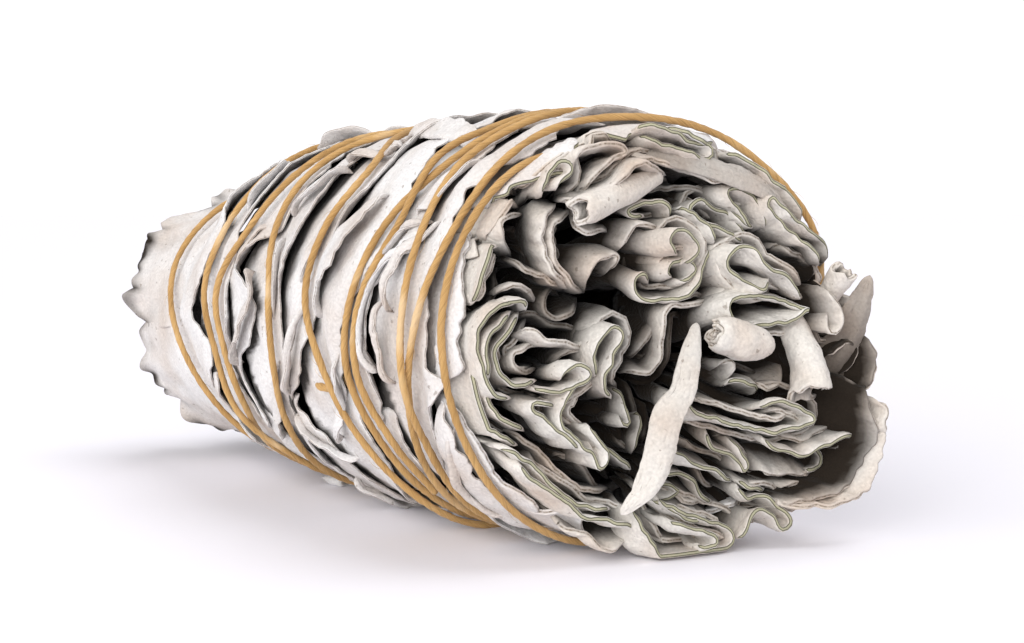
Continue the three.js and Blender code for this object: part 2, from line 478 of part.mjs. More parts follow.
let count = 0;
const leafName = () => {
  count += 1;
  return `outer_leaf_${String(count).padStart(2, '0')}`;
};
for (let i = 0; i < FAR_LEAVES; i += 1) {
  const sweep = 360 / FAR_LEAVES;
  add(leafName(), farLeaf(108 + i * sweep, sweep - 3, draw(0, 6)), sage);
}
ROWS.forEach((row) => {
  const sweep = 360 / LEAVES_PER_ROW;
  const start = 96 + draw(-14, 14);
  for (let i = 0; i < LEAVES_PER_ROW; i += 1) {
    add(leafName(), wrappingLeaf(row, start + i * sweep, sweep - 3, draw(0, 6)), sage);
  }
});
add('heel_leaf', heelGeometry(), sage);
add('twine', stringGeometry(), cotton);

const whole = new THREE.Group();
whole.add(stick);
export default whole;
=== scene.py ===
# A sage smudge stick: dried white sage leaves rolled into a bunch, cut square at the near end, with ruffled
# tips at the far end, wrapped in whole leaves and bound with one ochre cotton string.
from math import atan2, cos, degrees, exp, hypot, pi, radians, sin, sqrt

import bmesh
import bpy
from mathutils import Matrix, Vector, noise
from mathutils.geometry import interpolate_bezier


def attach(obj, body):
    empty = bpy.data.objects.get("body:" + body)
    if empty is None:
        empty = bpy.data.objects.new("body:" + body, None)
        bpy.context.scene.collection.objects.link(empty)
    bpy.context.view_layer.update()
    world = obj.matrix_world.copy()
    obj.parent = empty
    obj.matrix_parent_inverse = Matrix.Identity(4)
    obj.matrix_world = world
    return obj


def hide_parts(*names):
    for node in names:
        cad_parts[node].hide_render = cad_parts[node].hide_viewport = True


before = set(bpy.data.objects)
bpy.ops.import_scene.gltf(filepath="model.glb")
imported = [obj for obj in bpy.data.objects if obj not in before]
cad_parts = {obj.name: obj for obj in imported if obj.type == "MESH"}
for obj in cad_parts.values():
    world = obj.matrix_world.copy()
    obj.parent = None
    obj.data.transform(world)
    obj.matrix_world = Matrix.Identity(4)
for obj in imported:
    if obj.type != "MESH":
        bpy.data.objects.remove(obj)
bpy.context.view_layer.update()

# The table: a plain white surface that the stick lies on, in soft studio light. The camera is close to the
# cut end and a little above the table, as in the photograph.
EYE = Vector((0.14956, -0.10325, 0.0334))
GAZE = Vector((-0.786, 0.614, -0.0738))
LENS = 56.25

camera = bpy.data.objects.new("camera", bpy.data.cameras.new("camera"))
camera.data.lens = LENS
camera.data.clip_start = 0.005
camera.location = EYE
camera.rotation_euler = GAZE.to_track_quat("-Z", "Y").to_euler()
bpy.context.scene.collection.objects.link(camera)
bpy.context.scene.camera = camera


def soft_light(name, comes_from, strength, spread, colour):
    light = bpy.data.objects.new(name, bpy.data.lights.new(name, "SUN"))
    light.data.energy = strength
    light.data.angle = radians(spread)
    light.data.color = colour
    light.rotation_euler = Vector(comes_from).to_track_quat("Z", "Y").to_euler()
    bpy.context.scene.collection.objects.link(light)


soft_light("left_light", (-0.05, -0.85, 0.5), 1.05, 50, (1, 0.99, 0.97))
soft_light("front_light", (0.57, -0.77, 0.35), 2.0, 40, (1, 0.99, 0.97))
soft_light("top_light", (0.15, 0.3, 0.95), 1.5, 45, (0.98, 0.98, 1))

# The surround is white to the eye, and lights the stick a little less than it shows
world = bpy.data.worlds.new("studio")
world.use_nodes = True
background = world.node_tree.nodes["Background"]
background.inputs["Color"].default_value = (0.98, 0.975, 1, 1)
seen = world.node_tree.nodes.new("ShaderNodeLightPath")
surround = world.node_tree.nodes.new("ShaderNodeMapRange")
surround.inputs["To Min"].default_value = 0.34
surround.inputs["To Max"].default_value = 1.1
world.node_tree.links.new(seen.outputs["Is Camera Ray"], surround.inputs["Value"])
world.node_tree.links.new(surround.outputs["Result"], background.inputs["Strength"])
bpy.context.scene.world = world
bpy.context.scene.view_settings.view_transform = "Standard"


def new_material(name, roughness, specular, sheen=0.0):
    """A material with its node tree and its shader."""
    made = bpy.data.materials.new(name)
    made.use_nodes = True
    shader = made.node_tree.nodes["Principled BSDF"]
    shader.inputs["Roughness"].default_value = roughness
    shader.inputs["Specular IOR Level"].default_value = specular
    shader.inputs["Sheen Weight"].default_value = sheen
    return made, made.node_tree, shader


bm = bmesh.new()
bmesh.ops.create_grid(bm, x_segments=8, y_segments=8, size=4)
floor_mesh = bpy.data.meshes.new("table_top")
bm.to_mesh(floor_mesh)
bm.free()
table_top = bpy.data.objects.new("table_top", floor_mesh)
bpy.context.scene.collection.objects.link(table_top)
white, tree, shader = new_material("white_table", roughness=0.7, specular=0.2)
shader.inputs["Base Color"].default_value = (0.93, 0.915, 0.965, 1)
floor_mesh.materials.append(white)

# The string: one thin ochre cotton cord of three twisted plies, about 1.3 m long. It is wound from the cut
# end to the far end in steep turns and back again, so the turns cross, and every turn is pulled tight.
# Millimetres from here on, along the stick. A finished piece is moved into the frame in one step.
STRING = 1.0            # thickness of the CAD string, whose middle line this one keeps
STRING_CLEAR = 0.03     # between the CAD string and the leaves under it
TABLE_CLEAR = 0.1       # between it and the table
GAP = 0.3               # between two leaves

# The middle of the stick is the frame's origin, and the frame is in metres
CENTRE = Vector((6.745, -0.255, 0))
TO_FRAME = Matrix.Scale(0.001, 4) @ Matrix.Translation(-CENTRE)

# Place along the stick, radius over the string, and height of the underside
OUTLINE = [
    (-46, 11.5, 4.6), (-42, 12.5, 4.2), (-36, 14.6, 3.6), (-28, 15.8, 3.0), (-20, 17.3, 2.4),
    (-10, 19.6, 1.4), (0, 20.6, 0.4), (10, 21.0, 0), (24, 21.4, 0), (38, 21.4, 0), (46, 20.8, 0),
    (58, 19.8, 0.2),
]
UNDER_STRING = 0.85     # how much lower than OUTLINE the leaves lie

# Angle round the axis, counted on over every turn, and place along the stick
ROUTE = [
    (112, 42.7), (140, 41.3), (156, 40.6), (180, 40.1), (202, 40.9), (236, 40.7), (270, 41), (310, 43.5),
    (360, 47.8), (384, 50), (395, 49.9), (406, 48.9), (416, 47.9), (430, 47), (459, 44.1), (472, 41.4),
    (497, 40.3), (511, 39.2), (533, 36.9), (549, 35.1), (559, 33.4), (581, 31.3), (596, 29.7), (630, 29),
    (680, 31), (720, 33.6), (770, 35.6), (818, 36), (837, 35.1), (851, 34), (863, 33.3), (879, 35.1),
    (897, 33.9), (905, 34.3), (914, 35.4), (930, 34.2), (956, 32.4), (990, 31.3), (1040, 29.5),
    (1080, 30.6), (1130, 32.6), (1180, 34.3), (1207, 33), (1220, 29.4), (1230, 28.1), (1249, 25.6),
    (1266, 23.5), (1284, 25.2), (1306, 26.3), (1350, 24.8), (1400, 24.5), (1450, 25.5), (1490, 24),
    (1520, 17), (1540, 9.5), (1556, 5.6), (1581, 4.7), (1600, 6.9), (1618, 9.2), (1638, 8.5), (1667, 4.4),
    (1710, 2), (1760, 2.5), (1800, 4), (1860, 5), (1900, 3.4), (1932, 1.7), (1949, 0.3), (1959, -2.3),
    (1968, -4.9), (1985, -4), (1997, -2.4), (2011, -3), (2027, -6.1), (2070, -8.6), (2120, -11.5),
    (2160, -15), (2210, -19), (2260, -23), (2308, -25.8), (2319, -25), (2333, -23), (2345, -20.8),
    (2358, -17.9), (2374, -15), (2392, -13.4), (2430, -12.4), (2480, -11), (2520, -9.4), (2570, -7.8),
    (2620, -6.4), (2651, -6.2), (2673, -7.4), (2690, -8.6), (2705, -6.8), (2725, -4.6), (2745, -2.8),
    (2790, -1.4), (2840, 3), (2880, 7), (2930, 9.8), (2980, 11.2), (2996, 15), (3008, 18.3), (3031, 16.7),
    (3047, 15.5), (3065, 18.4), (3087, 21.1), (3097, 21.9), (3112, 25.2), (3150, 27), (3200, 28),
    (3240, 28.4), (3290, 30), (3340, 31.8), (3388, 30.7), (3410, 27.2), (3419, 25.9), (3428, 25.2),
    (3445, 27.6), (3457, 28.2), (3474, 28.1),
]
FIRST_ANGLE = ROUTE[0][0]
STRING_STEP = 20
FIRST_END_DEPTH = 1.7   # the first end of the string is tucked in this deep
FIRST_END_SWEEP = 24    # over this many degrees


def clamp(value, low=0.0, high=1.0):
    return min(max(value, low), high)


def mix(start, end, share):
    return start + (end - start) * share


def along(rows, place, column=1):
    """A value read off a list of rows, straight between them."""
    if place <= rows[0][0]:
        return rows[0][column]
    for before, after in zip(rows, rows[1:]):
        if place < after[0]:
            return mix(before[column], after[column], (place - before[0]) / (after[0] - before[0]))
    return rows[-1][column]


def bunch_radius(x):
    """Radius of the bunch without the string."""
    return along(OUTLINE, x) - UNDER_STRING


def axis_height(x):
    """Height of the middle of the bunch over the table."""
    return along(OUTLINE, x) + along(OUTLINE, x, 2)


def on_bunch(x, angle, depth, lowest):
    """A point on the bunch, flattened near the table."""
    radius = bunch_radius(x) - depth
    z = axis_height(x) + radius * sin(radians(angle))
    return Vector((x, radius * cos(radians(angle)), max(z, lowest + depth)))


def smooth_line(points, spacing):
    """A smooth line through points, with a vertex about every spacing."""
    points = [Vector(p) for p in points]
    last = len(points) - 1
    line = []
    for i in range(last):
        start, end = points[i], points[i + 1]
        length = (end - start).length
        leave = (end - points[max(i - 1, 0)]).normalized() * length / 3
        arrive = (points[min(i + 2, last)] - start).normalized() * length / 3
        count = max(2, round(length / spacing)) + 1
        line += interpolate_bezier(start, start + leave, end - arrive, end, count)[:-1]
    return line + [points[last]]


def string_places():
    """The route in even steps, each raised to lie over the turns already wound."""
    steps = round((ROUTE[-1][0] - FIRST_ANGLE) / STRING_STEP)
    places = []
    for i in range(steps + 1):
        turn = FIRST_ANGLE + i * STRING_STEP
        places.append([turn, along(ROUTE, turn), 0.0])
    clear = 1.05 * STRING   # between the middles of two turns that cross
    for place in places:
        earlier = place[0] - 360
        while earlier >= FIRST_ANGLE:
            first = int((earlier - FIRST_ANGLE) // STRING_STEP)
            before, after = places[first], places[first + 1]
            share = (earlier - before[0]) / STRING_STEP
            aside = abs(mix(before[1], after[1], share) - place[1])
            height = sqrt(max(0.0, clear**2 - (aside * 0.8) ** 2))
            if aside < 1.5 * clear:
                place[2] = max(place[2], mix(before[2], after[2], share) + height)
            earlier -= 360
    return places


STRING_PLACES = string_places()


def string_line(spacing):
    """The middle line of the string."""
    line = []
    for turn, x, rise in STRING_PLACES:
        tucked = FIRST_END_DEPTH * clamp(1 - (turn - FIRST_ANGLE) / FIRST_END_SWEEP)
        depth = -STRING / 2 - STRING_CLEAR - rise + tucked
        line.append(on_bunch(x, turn, depth, STRING / 2 + TABLE_CLEAR - depth))
    return smooth_line(line, spacing)


def finish_piece(bm, name, material, nodes):
    """Moves a modelled mesh into the frame and makes a piece of it that stands for the nodes."""
    bmesh.ops.transform(bm, matrix=TO_FRAME, verts=bm.verts)
    bmesh.ops.recalc_face_normals(bm, faces=bm.faces)
    mesh = bpy.data.meshes.new(name)
    bm.to_mesh(mesh)
    bm.free()
    mesh.shade_smooth()
    mesh.materials.append(material)
    piece = bpy.data.objects.new(name, mesh)
    bpy.context.scene.collection.objects.link(piece)
    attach(piece, "root")
    if nodes:
        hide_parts(*nodes)


PLIES = 3
PLY_TURN = 4.4
STRING_SIDES = 12
STRING_SPACING = 0.34
STRING_WIDTH = 0.73
TAIL_WIDTH = 0.72
FIBRES = 320
FIBRE_STEPS = 4
FIBRE_SIDES = 3
FIBRE_RADIUS = 0.022
FIBRE_ROOT = 0.3        # from the middle of the string


def add_node(tree, kind, links=None, **values):
    """A node with its settings, and its inputs set or linked by name."""
    node = tree.nodes.new(kind)
    for name, value in values.items():
        setattr(node, name, value)
    for name, value in (links or {}).items():
        if isinstance(value, bpy.types.NodeSocket):
            tree.links.new(value, node.inputs[name])
        else:
            node.inputs[name].default_value = value
    return node


def math_node(tree, operation, first, second=0.0, third=0.0):
    return add_node(tree, "ShaderNodeMath", {0: first, 1: second, 2: third}, operation=operation).outputs[0]


def blend_colours(tree, share, first, second, kind="MIX"):
    """Two colours mixed by a share. The node's inputs 6 and 7 and its output 2 are the ones for colours."""
    wanted = {0: share, 6: first, 7: second}
    return add_node(tree, "ShaderNodeMix", wanted, data_type="RGBA", blend_type=kind).outputs[2]


def ranged(tree, value, low, high, to_low=0.0, to_high=1.0):
    """A value moved from one range to another, and held inside it."""
    wanted = {"Value": value, "From Min": low, "From Max": high, "To Min": to_low, "To Max": to_high}
    return add_node(tree, "ShaderNodeMapRange", wanted).outputs["Result"]


def darkened(tree, colour, value, low, high, to_low, to_high):
    """A colour times a ranged value."""
    return blend_colours(tree, 1.0, colour, ranged(tree, value, low, high, to_low, to_high), "MULTIPLY")


def roughen(tree, shader, height, strength, distance):
    """Gives a shader's surface a relief."""
    bump = add_node(tree, "ShaderNodeBump", {"Strength": strength, "Distance": distance, "Height": height})
    tree.links.new(bump.outputs["Normal"], shader.inputs["Normal"])


def tube_frames(line):
    """The two directions across a line at each of its points, carried along without a twist."""
    frames = []
    last = len(line) - 1
    across = Vector((1, 0.01, 0.02))
    for i in range(last + 1):
        ahead = (line[min(i + 1, last)] - line[max(i - 1, 0)]).normalized()
        across = (across - ahead * across.dot(ahead)).normalized()
        frames.append((across.copy(), ahead.cross(across)))
    return frames


def tube(bm, line, sides, section):
    """A closed tube along a line. section gives its radius and its marks at each point and angle."""
    rings = len(line) - 1
    added = bmesh.ops.create_grid(bm, x_segments=rings, y_segments=sides, size=0.5)["verts"]
    layer = bm.verts.layers.float_color["ply_marks"]
    frames = tube_frames(line)
    for v in added:
        i = round((v.co.x + 0.5) * rings)
        theta = (v.co.y + 0.5) * 2 * pi
        side, up = frames[i]
        radius, v[layer] = section(i, theta)
        v.co = line[i] + (side * cos(theta) + up * sin(theta)) * radius
    bmesh.ops.remove_doubles(bm, verts=added, dist=1e-4)
    bmesh.ops.holes_fill(bm, edges=[e for e in bm.edges if e.is_boundary], sides=sides)


def drift(x, y=0.0, z=0.0):
    """Smooth noise about zero at a place, the same on every run."""
    return noise.noise(Vector((x, y, z)))


def twisted_cord(bm, line, width, frayed=0):
    """A cord whose section has one lobe for each ply and turns along the line. Its last rings are frayed."""
    rings = len(line) - 1
    travelled = [0.0]
    for start, end in zip(line, line[1:]):
        travelled.append(travelled[-1] + (end - start).length)

    def section(i, theta):
        turned = theta - 2 * pi * travelled[i] / PLY_TURN
        lobe = abs(cos(PLIES / 2 * turned)) ** 0.7
        slack = drift(travelled[i] * 0.35, 3)
        lumps = drift(travelled[i] * 0.9, cos(turned) * 1.5, sin(turned) * 1.5)
        radius = width / 2 * (0.88 + 0.12 * lobe + 0.16 * slack + 0.14 * lumps)
        if frayed:
            radius *= 1 + 0.5 * clamp(1 - (rings - i) / frayed) - 0.9 * clamp(1 - 2 * (rings - i) / frayed)
        # The lobe also marks the grooves between the plies, which the material darkens with painted shade
        return radius, (travelled[i], cos(turned), sin(turned), lobe)

    tube(bm, line, STRING_SIDES, section)


seed = 7


def draw(low, high):
    """A seeded draw, the same on every run."""
    global seed
    seed = (seed * 16807) % 2147483647
    return low + (high - low) * seed / 2147483647


def loose_fibre(bm, root, out, ahead, length):
    """One hair of the cotton that stands off the string in a small arc."""
    line = []
    for i in range(FIBRE_STEPS + 1):
        t = i / FIBRE_STEPS
        line.append(root + ahead * length * t + out * length * (0.75 * t - 0.55 * t * t))

    def section(i, theta):
        # A loose fibre has almost none of the painted groove shade
        return FIBRE_RADIUS * (1 - 0.6 * i / FIBRE_STEPS), (i, 0, 0, 0.9)

    tube(bm, line, FIBRE_SIDES, section)


cotton, tree, shader = new_material("ochre_cotton", roughness=0.9, specular=0.2, sheen=0.15)
marked = add_node(tree, "ShaderNodeAttribute", attribute_name="ply_marks")
stretched = add_node(tree, "ShaderNodeMapping", {"Vector": marked.outputs["Vector"], "Scale": (0.4, 8, 8)})
strands = add_node(tree, "ShaderNodeTexNoise", {"Vector": stretched.outputs[0], "Scale": 1.0, "Detail": 5.0})
spot = add_node(tree, "ShaderNodeTexCoord").outputs["Object"]
dye = add_node(tree, "ShaderNodeTexNoise", {"Vector": spot, "Scale": 120.0, "Detail": 2.0})
tone = math_node(tree, "MULTIPLY_ADD", ranged(tree, strands.outputs["Fac"], 0.32, 0.68), 0.6, 0.0)
tone = math_node(tree, "MULTIPLY_ADD", ranged(tree, dye.outputs["Fac"], 0.3, 0.7), 0.4, tone)
colour = blend_colours(tree, tone, (0.30, 0.155, 0.045, 1), (0.70, 0.445, 0.185, 1))
# The grooves between the plies are darkened: painted shade
colour = darkened(tree, colour, marked.outputs["Alpha"], 0.0, 0.5, 0.68, 1.0)
cream = ranged(tree, dye.outputs["Fac"], 0.62, 0.72, 0.0, 0.6)
colour = blend_colours(tree, cream, colour, (0.78, 0.60, 0.38, 1))
tree.links.new(colour, shader.inputs["Base Color"])
roughen(tree, shader, strands.outputs["Fac"], 0.7, 0.00009)

bm = bmesh.new()
bm.verts.layers.float_color.new("ply_marks")
string = string_line(STRING_SPACING)
twisted_cord(bm, string, STRING_WIDTH)

# The last end of the string sticks out a little from under a turn, and is frayed
TAIL = [(19.8, 198, 0.3), (19, 197.6, 0.6), (18.3, 197, 0.8), (17.8, 196.6, 0.8)]
tail = smooth_line([on_bunch(x, angle, -out, 0) for x, angle, out in TAIL], 0.25)
twisted_cord(bm, tail, TAIL_WIDTH, frayed=5)
frames = tube_frames(string)
for _ in range(FIBRES):
    i = int(draw(5, len(string) - 5))
    side, up = frames[i]
    theta = draw(0, 2 * pi)
    out = side * cos(theta) + up * sin(theta)
    ahead = (string[i + 1] - string[i - 1]).normalized() * (1 if draw(0, 1) > 0.5 else -1)
    loose_fibre(bm, string[i] + out * FIBRE_ROOT, out, ahead, draw(0.6, 1.8))
finish_piece(bm, "twine", cotton, ["twine"])

# The leaves: dried white sage, felted on both sides, pale grey with warmer patches. A cut edge shows the
# olive green inside of the leaf between its two pale skins, and an uncut margin is finely notched and brown.
LEAF = 0.5              # thickness
FACE_X = 48             # the cut end crosses the axis here
FACE_SLOPE = 0.25       # and this much farther on for each millimetre toward the back
LIP_LEAN = 0.78         # what stands out of the cut end leans this much toward the camera's side
FLARE = 22              # radius that the folded leaves reach if nothing holds them in
UNDERSIDE = 1.65        # height of the lowest leaves over the table
SHINGLE = 1.5           # how deep each row of outer leaves dips under the one before it
LEAF_WIDTH = 12.5       # of the outer leaves, along the stick

# Where the margins of the outer leaves' rows lie, and how they slant over the top and to the sides
ROWS = [-10.5, -2.5, 4.5, 11, 17.5, 24, 30, 36.5]
TOP_SLANT = [(-30, -3), (0, 0), (15, 3.5), (24.5, 4), (31, 3), (38, 2), (48, 0)]
SIDE_SLANT = [(18, 0), (48, 5)]

# Round the rim of a leaf: share of half the thickness to each side, and how far it stands out
RIM = [(0.9, 0.14), (0.72, 0.26), (0.42, 0.35), (0.0, 0.4), (-0.42, 0.35), (-0.72, 0.26), (-0.9, 0.14)]


def leaf(bm, rows, columns, place, thickness=LEAF, hollow_shade=0.0, margin_share=1.0, shade_lifted_outside=False):
    """Wraps a closed leaf with a rounded rim round a table of middle points. place gives the point at each
    row and column, and its marks: natural margin, painted shade for its depth inside the bunch, and tint.
    Row 0 is the edge that shows. hollow darkens one skin away from the edge with painted shade,
    margin_share thins the leaf toward it, and with weathered set the painted shade is taken off where the
    leaf faces out of the bunch."""
    table = [[place(j, i) for i in range(columns + 1)] for j in range(rows + 1)]
    middle = [[point for point, marks in line] for line in table]
    profile = [(j, 1.0, 0.0, 0.0) for j in range(rows, -1, -1)]
    profile += [(0, side, out, 1 - abs(side)) for side, out in RIM]
    profile += [(j, -1.0, 0.0, 0.0) for j in range(rows + 1)]
    skins = len(profile) - 1
    added = bmesh.ops.create_grid(bm, x_segments=skins, y_segments=columns, size=0.5)["verts"]
    layer = bm.verts.layers.float_color["leaf_marks"]
    normals = []
    for j in range(rows + 1):
        normals.append([])
        for i in range(columns + 1):
            down = middle[min(j + 1, rows)][i] - middle[max(j - 1, 0)][i]
            along_row = middle[j][min(i + 1, columns)] - middle[j][max(i - 1, 0)]
            normals[j].append(along_row.cross(down).normalized())
    for v in added:
        k = round((v.co.x + 0.5) * skins)
        i = round((v.co.y + 0.5) * columns)
        j, side, out, across_rim = profile[k]
        ends = min(i, columns - i)
        half = thickness / 2 * (0 if ends == 0 else 0.75 if ends == 1 else 1) * (j < rows)
        half *= mix(margin_share, 1, clamp(j / 3))
        inner = middle[min(j + 1, rows)][i] if j == 0 else middle[j - 1][i]
        outward = (middle[j][i] - inner).normalized()
        v.co = middle[j][i] + normals[j][i] * (side * half) + outward * (out * half)
        margin, depth, tint = table[j][i][1]
        # Painted shade on one skin, darker away from the edge
        if side > 0.95:
            depth = clamp(depth + hollow_shade * clamp(3 * j / rows))
        # The painted shade is taken off a skin that faces out of the bunch
        if shade_lifted_outside:
            away = Vector((0, v.co.y, v.co.z - axis_height(v.co.x)))
            facing = clamp(3 * side * normals[j][i].dot(away.normalized()))
            depth *= 1 - facing * clamp((away.length - bunch_radius(v.co.x) + 4) / 2)
        v[layer] = (across_rim if ends > 1 else 0.0, margin, depth, tint)
    bmesh.ops.remove_doubles(bm, verts=added, dist=1e-4)


def leaf_mesh():
    bm = bmesh.new()
    bm.verts.layers.float_color.new("leaf_marks")
    return bm


def margin_at(row, angle):
    """Where a row's margin lies along the stick at an angle."""
    slant = along(TOP_SLANT, row) * sin(radians(angle))
    return row + slant + along(SIDE_SLANT, row) * (1 + cos(radians(angle)))


def first_turn_at(angle):
    """Where the first turn of the string lies along the stick at an angle."""
    return along(ROUTE, (angle - FIRST_ANGLE) % 360 + FIRST_ANGLE)


# The felted skin as a node group: colour and height, from the leaf's marks and its place
SKIN_COLOURS = {
    "Pale": (0.60, 0.60, 0.585, 1),
    "Warm": (0.50, 0.44, 0.37, 1),
    "Olive": (0.06, 0.058, 0.03, 1),
    "Pith": (0.42, 0.405, 0.285, 1),
    "Brown": (0.17, 0.125, 0.085, 1),
    # painted shade, which the depth mark mixes in
    "Painted_shade": (0.018, 0.013, 0.009, 1),
}
skin = bpy.data.node_groups.new("felted_skin", "ShaderNodeTree")
for name, shade in SKIN_COLOURS.items():
    made = skin.interface.new_socket(name=name, in_out="INPUT", socket_type="NodeSocketColor")
    made.default_value = shade
skin.interface.new_socket(name="Color", in_out="OUTPUT", socket_type="NodeSocketColor")
skin.interface.new_socket(name="Height", in_out="OUTPUT", socket_type="NodeSocketFloat")

given = skin.nodes.new("NodeGroupInput").outputs
spot = add_node(skin, "ShaderNodeTexCoord").outputs["Object"]
marked = add_node(skin, "ShaderNodeAttribute", attribute_name="leaf_marks")
channels = add_node(skin, "ShaderNodeSeparateColor", {"Color": marked.outputs["Color"]}).outputs
patches = add_node(skin, "ShaderNodeTexNoise", {"Vector": spot, "Scale": 130.0, "Detail": 3.0})
mottle = add_node(skin, "ShaderNodeTexNoise", {"Vector": spot, "Scale": 3400.0, "Detail": 3.0})
pebble = add_node(skin, "ShaderNodeTexVoronoi", {"Vector": spot, "Scale": 2600.0, "Randomness": 1.0})
wrinkled = {"Vector": spot, "Scale": 420.0, "Randomness": 1.0}
creases = add_node(skin, "ShaderNodeTexVoronoi", wrinkled, feature="DISTANCE_TO_EDGE")
specks = add_node(skin, "ShaderNodeTexNoise", {"Vector": spot, "Scale": 1500.0, "Detail": 1.0})

warmth = math_node(skin, "ADD", ranged(skin, patches.outputs["Fac"], 0.42, 0.75), marked.outputs["Alpha"])
colour = blend_colours(skin, warmth, given["Pale"], given["Warm"])
colour = darkened(skin, colour, mottle.outputs["Fac"], 0.3, 0.7, 0.9, 1.05)
colour = darkened(skin, colour, pebble.outputs["Distance"], 0.0, 0.75, 1.03, 0.92)
speck = math_node(skin, "MULTIPLY", ranged(skin, specks.outputs["Fac"], 0.72, 0.76), 0.5)
colour = blend_colours(skin, speck, colour, given["Brown"])

# A cut edge has a pale core between two dark olive lines, and a natural margin one broken brown line
green = blend_colours(skin, ranged(skin, channels["Red"], 0.5, 0.75), given["Olive"], given["Pith"])
gaps = ranged(skin, mottle.outputs["Fac"], 0.3, 0.62, 0.15, 0.95)
broken = math_node(skin, "MULTIPLY", gaps, ranged(skin, channels["Red"], 0.45, 0.9))
brown = blend_colours(skin, broken, colour, given["Brown"])
edge = blend_colours(skin, channels["Green"], green, brown)
colour = blend_colours(skin, ranged(skin, channels["Red"], 0.16, 0.38), colour, edge)
# The depth mark mixes in the darkest colour: painted shade in the recesses and between leaves
colour = blend_colours(skin, channels["Blue"], colour, given["Painted_shade"])
rough_height = math_node(skin, "MULTIPLY", pebble.outputs["Distance"], -0.45)
crease_height = math_node(skin, "MULTIPLY", ranged(skin, creases.outputs["Distance"], 0.0, 0.08), 0.25)
height = math_node(skin, "ADD", math_node(skin, "ADD", rough_height, crease_height), mottle.outputs["Fac"])
handed = skin.nodes.new("NodeGroupOutput").inputs
skin.links.new(colour, handed["Color"])
skin.links.new(height, handed["Height"])


def leaf_material(name, pale, warm):
    made, tree, shader = new_material(name, roughness=0.92, specular=0.15, sheen=0.08)
    felt = add_node(tree, "ShaderNodeGroup", node_tree=skin)
    felt.inputs["Pale"].default_value = pale
    felt.inputs["Warm"].default_value = warm
    tree.links.new(felt.outputs["Color"], shader.inputs["Base Color"])
    roughen(tree, shader, felt.outputs["Height"], 0.6, 0.00016)
    return made


outer_sage = leaf_material("outer_sage", (0.76, 0.745, 0.74, 1), (0.60, 0.53, 0.48, 1))
rolled_sage = leaf_material("rolled_sage", (0.75, 0.72, 0.675, 1), (0.59, 0.49, 0.41, 1))


# Folded leaves of the cut end: leaves folded, curled and rolled into each other and cut through together.
# Each is the line of its edge across the face. Round the lip the leaf is crumpled, and it runs back into
# the bunch, growing wider or narrower and moving across as it goes.
def room_under(x, angle):
    """How deep under the outside the folded leaves stay, below the outer leaves and the string."""
    margin = margin_at(ROWS[-1], angle)
    if x < margin + 2:
        return 1.5 * LEAF + 2 * GAP + 0.3 + SHINGLE * clamp((margin + 1 - x) / LEAF_WIDTH, 0, 1.1)
    return LEAF / 2 + GAP + 0.1 - clamp(0.6 * (x - first_turn_at(angle) - 1.2), 0, 9)


EDGE_SPACING = 0.34
FOLD_ROWS = 11


def bend_back(point, behind):
    """Leaves lie bent and crumpled together behind the cut, all with the same bend, so they stay apart."""
    share = clamp((behind - 0.5) / 6)
    spot = point * 0.13
    sideways = 3.2 * noise.noise(spot) * share
    upward = 3.2 * noise.noise(spot + Vector((9, 4, 7))) * share
    return sideways, upward


def folded_leaf(bm, index, fold, natural, shade_from, aside=0, lower=0, spacing=EDGE_SPACING, rows=FOLD_ROWS):
    """One folded leaf behind its edge line, darkened with painted shade from shade_from behind the edge and
    more toward the right of the face. aside and lower make the next leaf of the same fold, that far beside
    it and behind its edge."""
    lip, back, grow, edge = fold
    lip -= lower
    line = smooth_line([(0, y, z) for y, z in edge], spacing)
    middle_y = sum(y for y, z in edge) / len(edge)
    middle_z = sum(z for y, z in edge) / len(edge)
    length, shift_y, shift_z = back
    tint = 0.3 * drift(index * 3.7, 0.5, aside) + (0.15 if natural else 0)
    last = len(line) - 1

    def place(j, i):
        # The edge stands out by a varying length, and draws back at its two ends
        t = (j / rows) ** 1.6
        p = line[i]
        run = i * spacing
        ahead = line[min(i + 1, last)] - line[max(i - 1, 0)]
        sideways = Vector((0, -ahead.z, ahead.y)).normalized()
        corner = 1 - clamp(min(i, last - i) * spacing / (2.6 if natural else 1.6))
        stand = lip + 1.1 * drift(run * 0.17, index * 5.1, aside)
        stand += 0.35 * drift(run * 0.8, index * 5.1, 4 + aside)
        stand -= (2.6 if natural else 1.3) * corner**2
        if natural:
            stand += 0.16 * abs(sin(run * 2.4 + index)) * (1 - t)

        # Behind the edge the leaf is crumpled, and its fold grows, shrinks and bends on its way back
        behind = length * t
        crumple = aside + 0.45 * drift(run * 0.4, behind * 0.35, index * 2.3)
        crumple += 0.22 * drift(run * 1.0, behind * 0.8, index * 4.9)
        crumple += 0.5 * drift(run * 0.2, 7, index * 3.1) * exp(-behind / 0.8)
        swell = mix(1, grow, t)
        x = FACE_X + FACE_SLOPE * p.y + stand - behind
        y = middle_y + (p.y - middle_y) * swell + shift_y * t - LIP_LEAN * stand + sideways.y * crumple
        z = middle_z + (p.z - middle_z) * swell + shift_z * t + sideways.z * crumple
        bend_y, bend_z = bend_back(Vector((x, y, z)), behind)
        y, z = y + bend_y, z + bend_z

        # It stays inside the wrapping and above the table
        rise = z - axis_height(x)
        angle = degrees(atan2(rise, y)) % 360
        radius = max(hypot(y, rise), 1e-6)
        most = bunch_radius(x) - room_under(x, angle) - 0.25 * (1 + index % 3)
        inward = min(mix(1, most / FLARE, t), most / radius)
        z = max(axis_height(x) + rise * inward, 0.3 + LEAF / 2)
        point = Vector((x, y * inward, z))
        # Painted shade: darker the farther behind the edge, and darker toward the right of the face
        inside = clamp((behind - stand - shade_from + 1.8 * clamp((y - 12) / 6)) / 2.5)
        return point, (1.0 if natural else 0.0, inside, tint)

    # Its painted shade is taken off where it faces out of the bunch
    leaf(bm, rows, last, place, shade_lifted_outside=True)


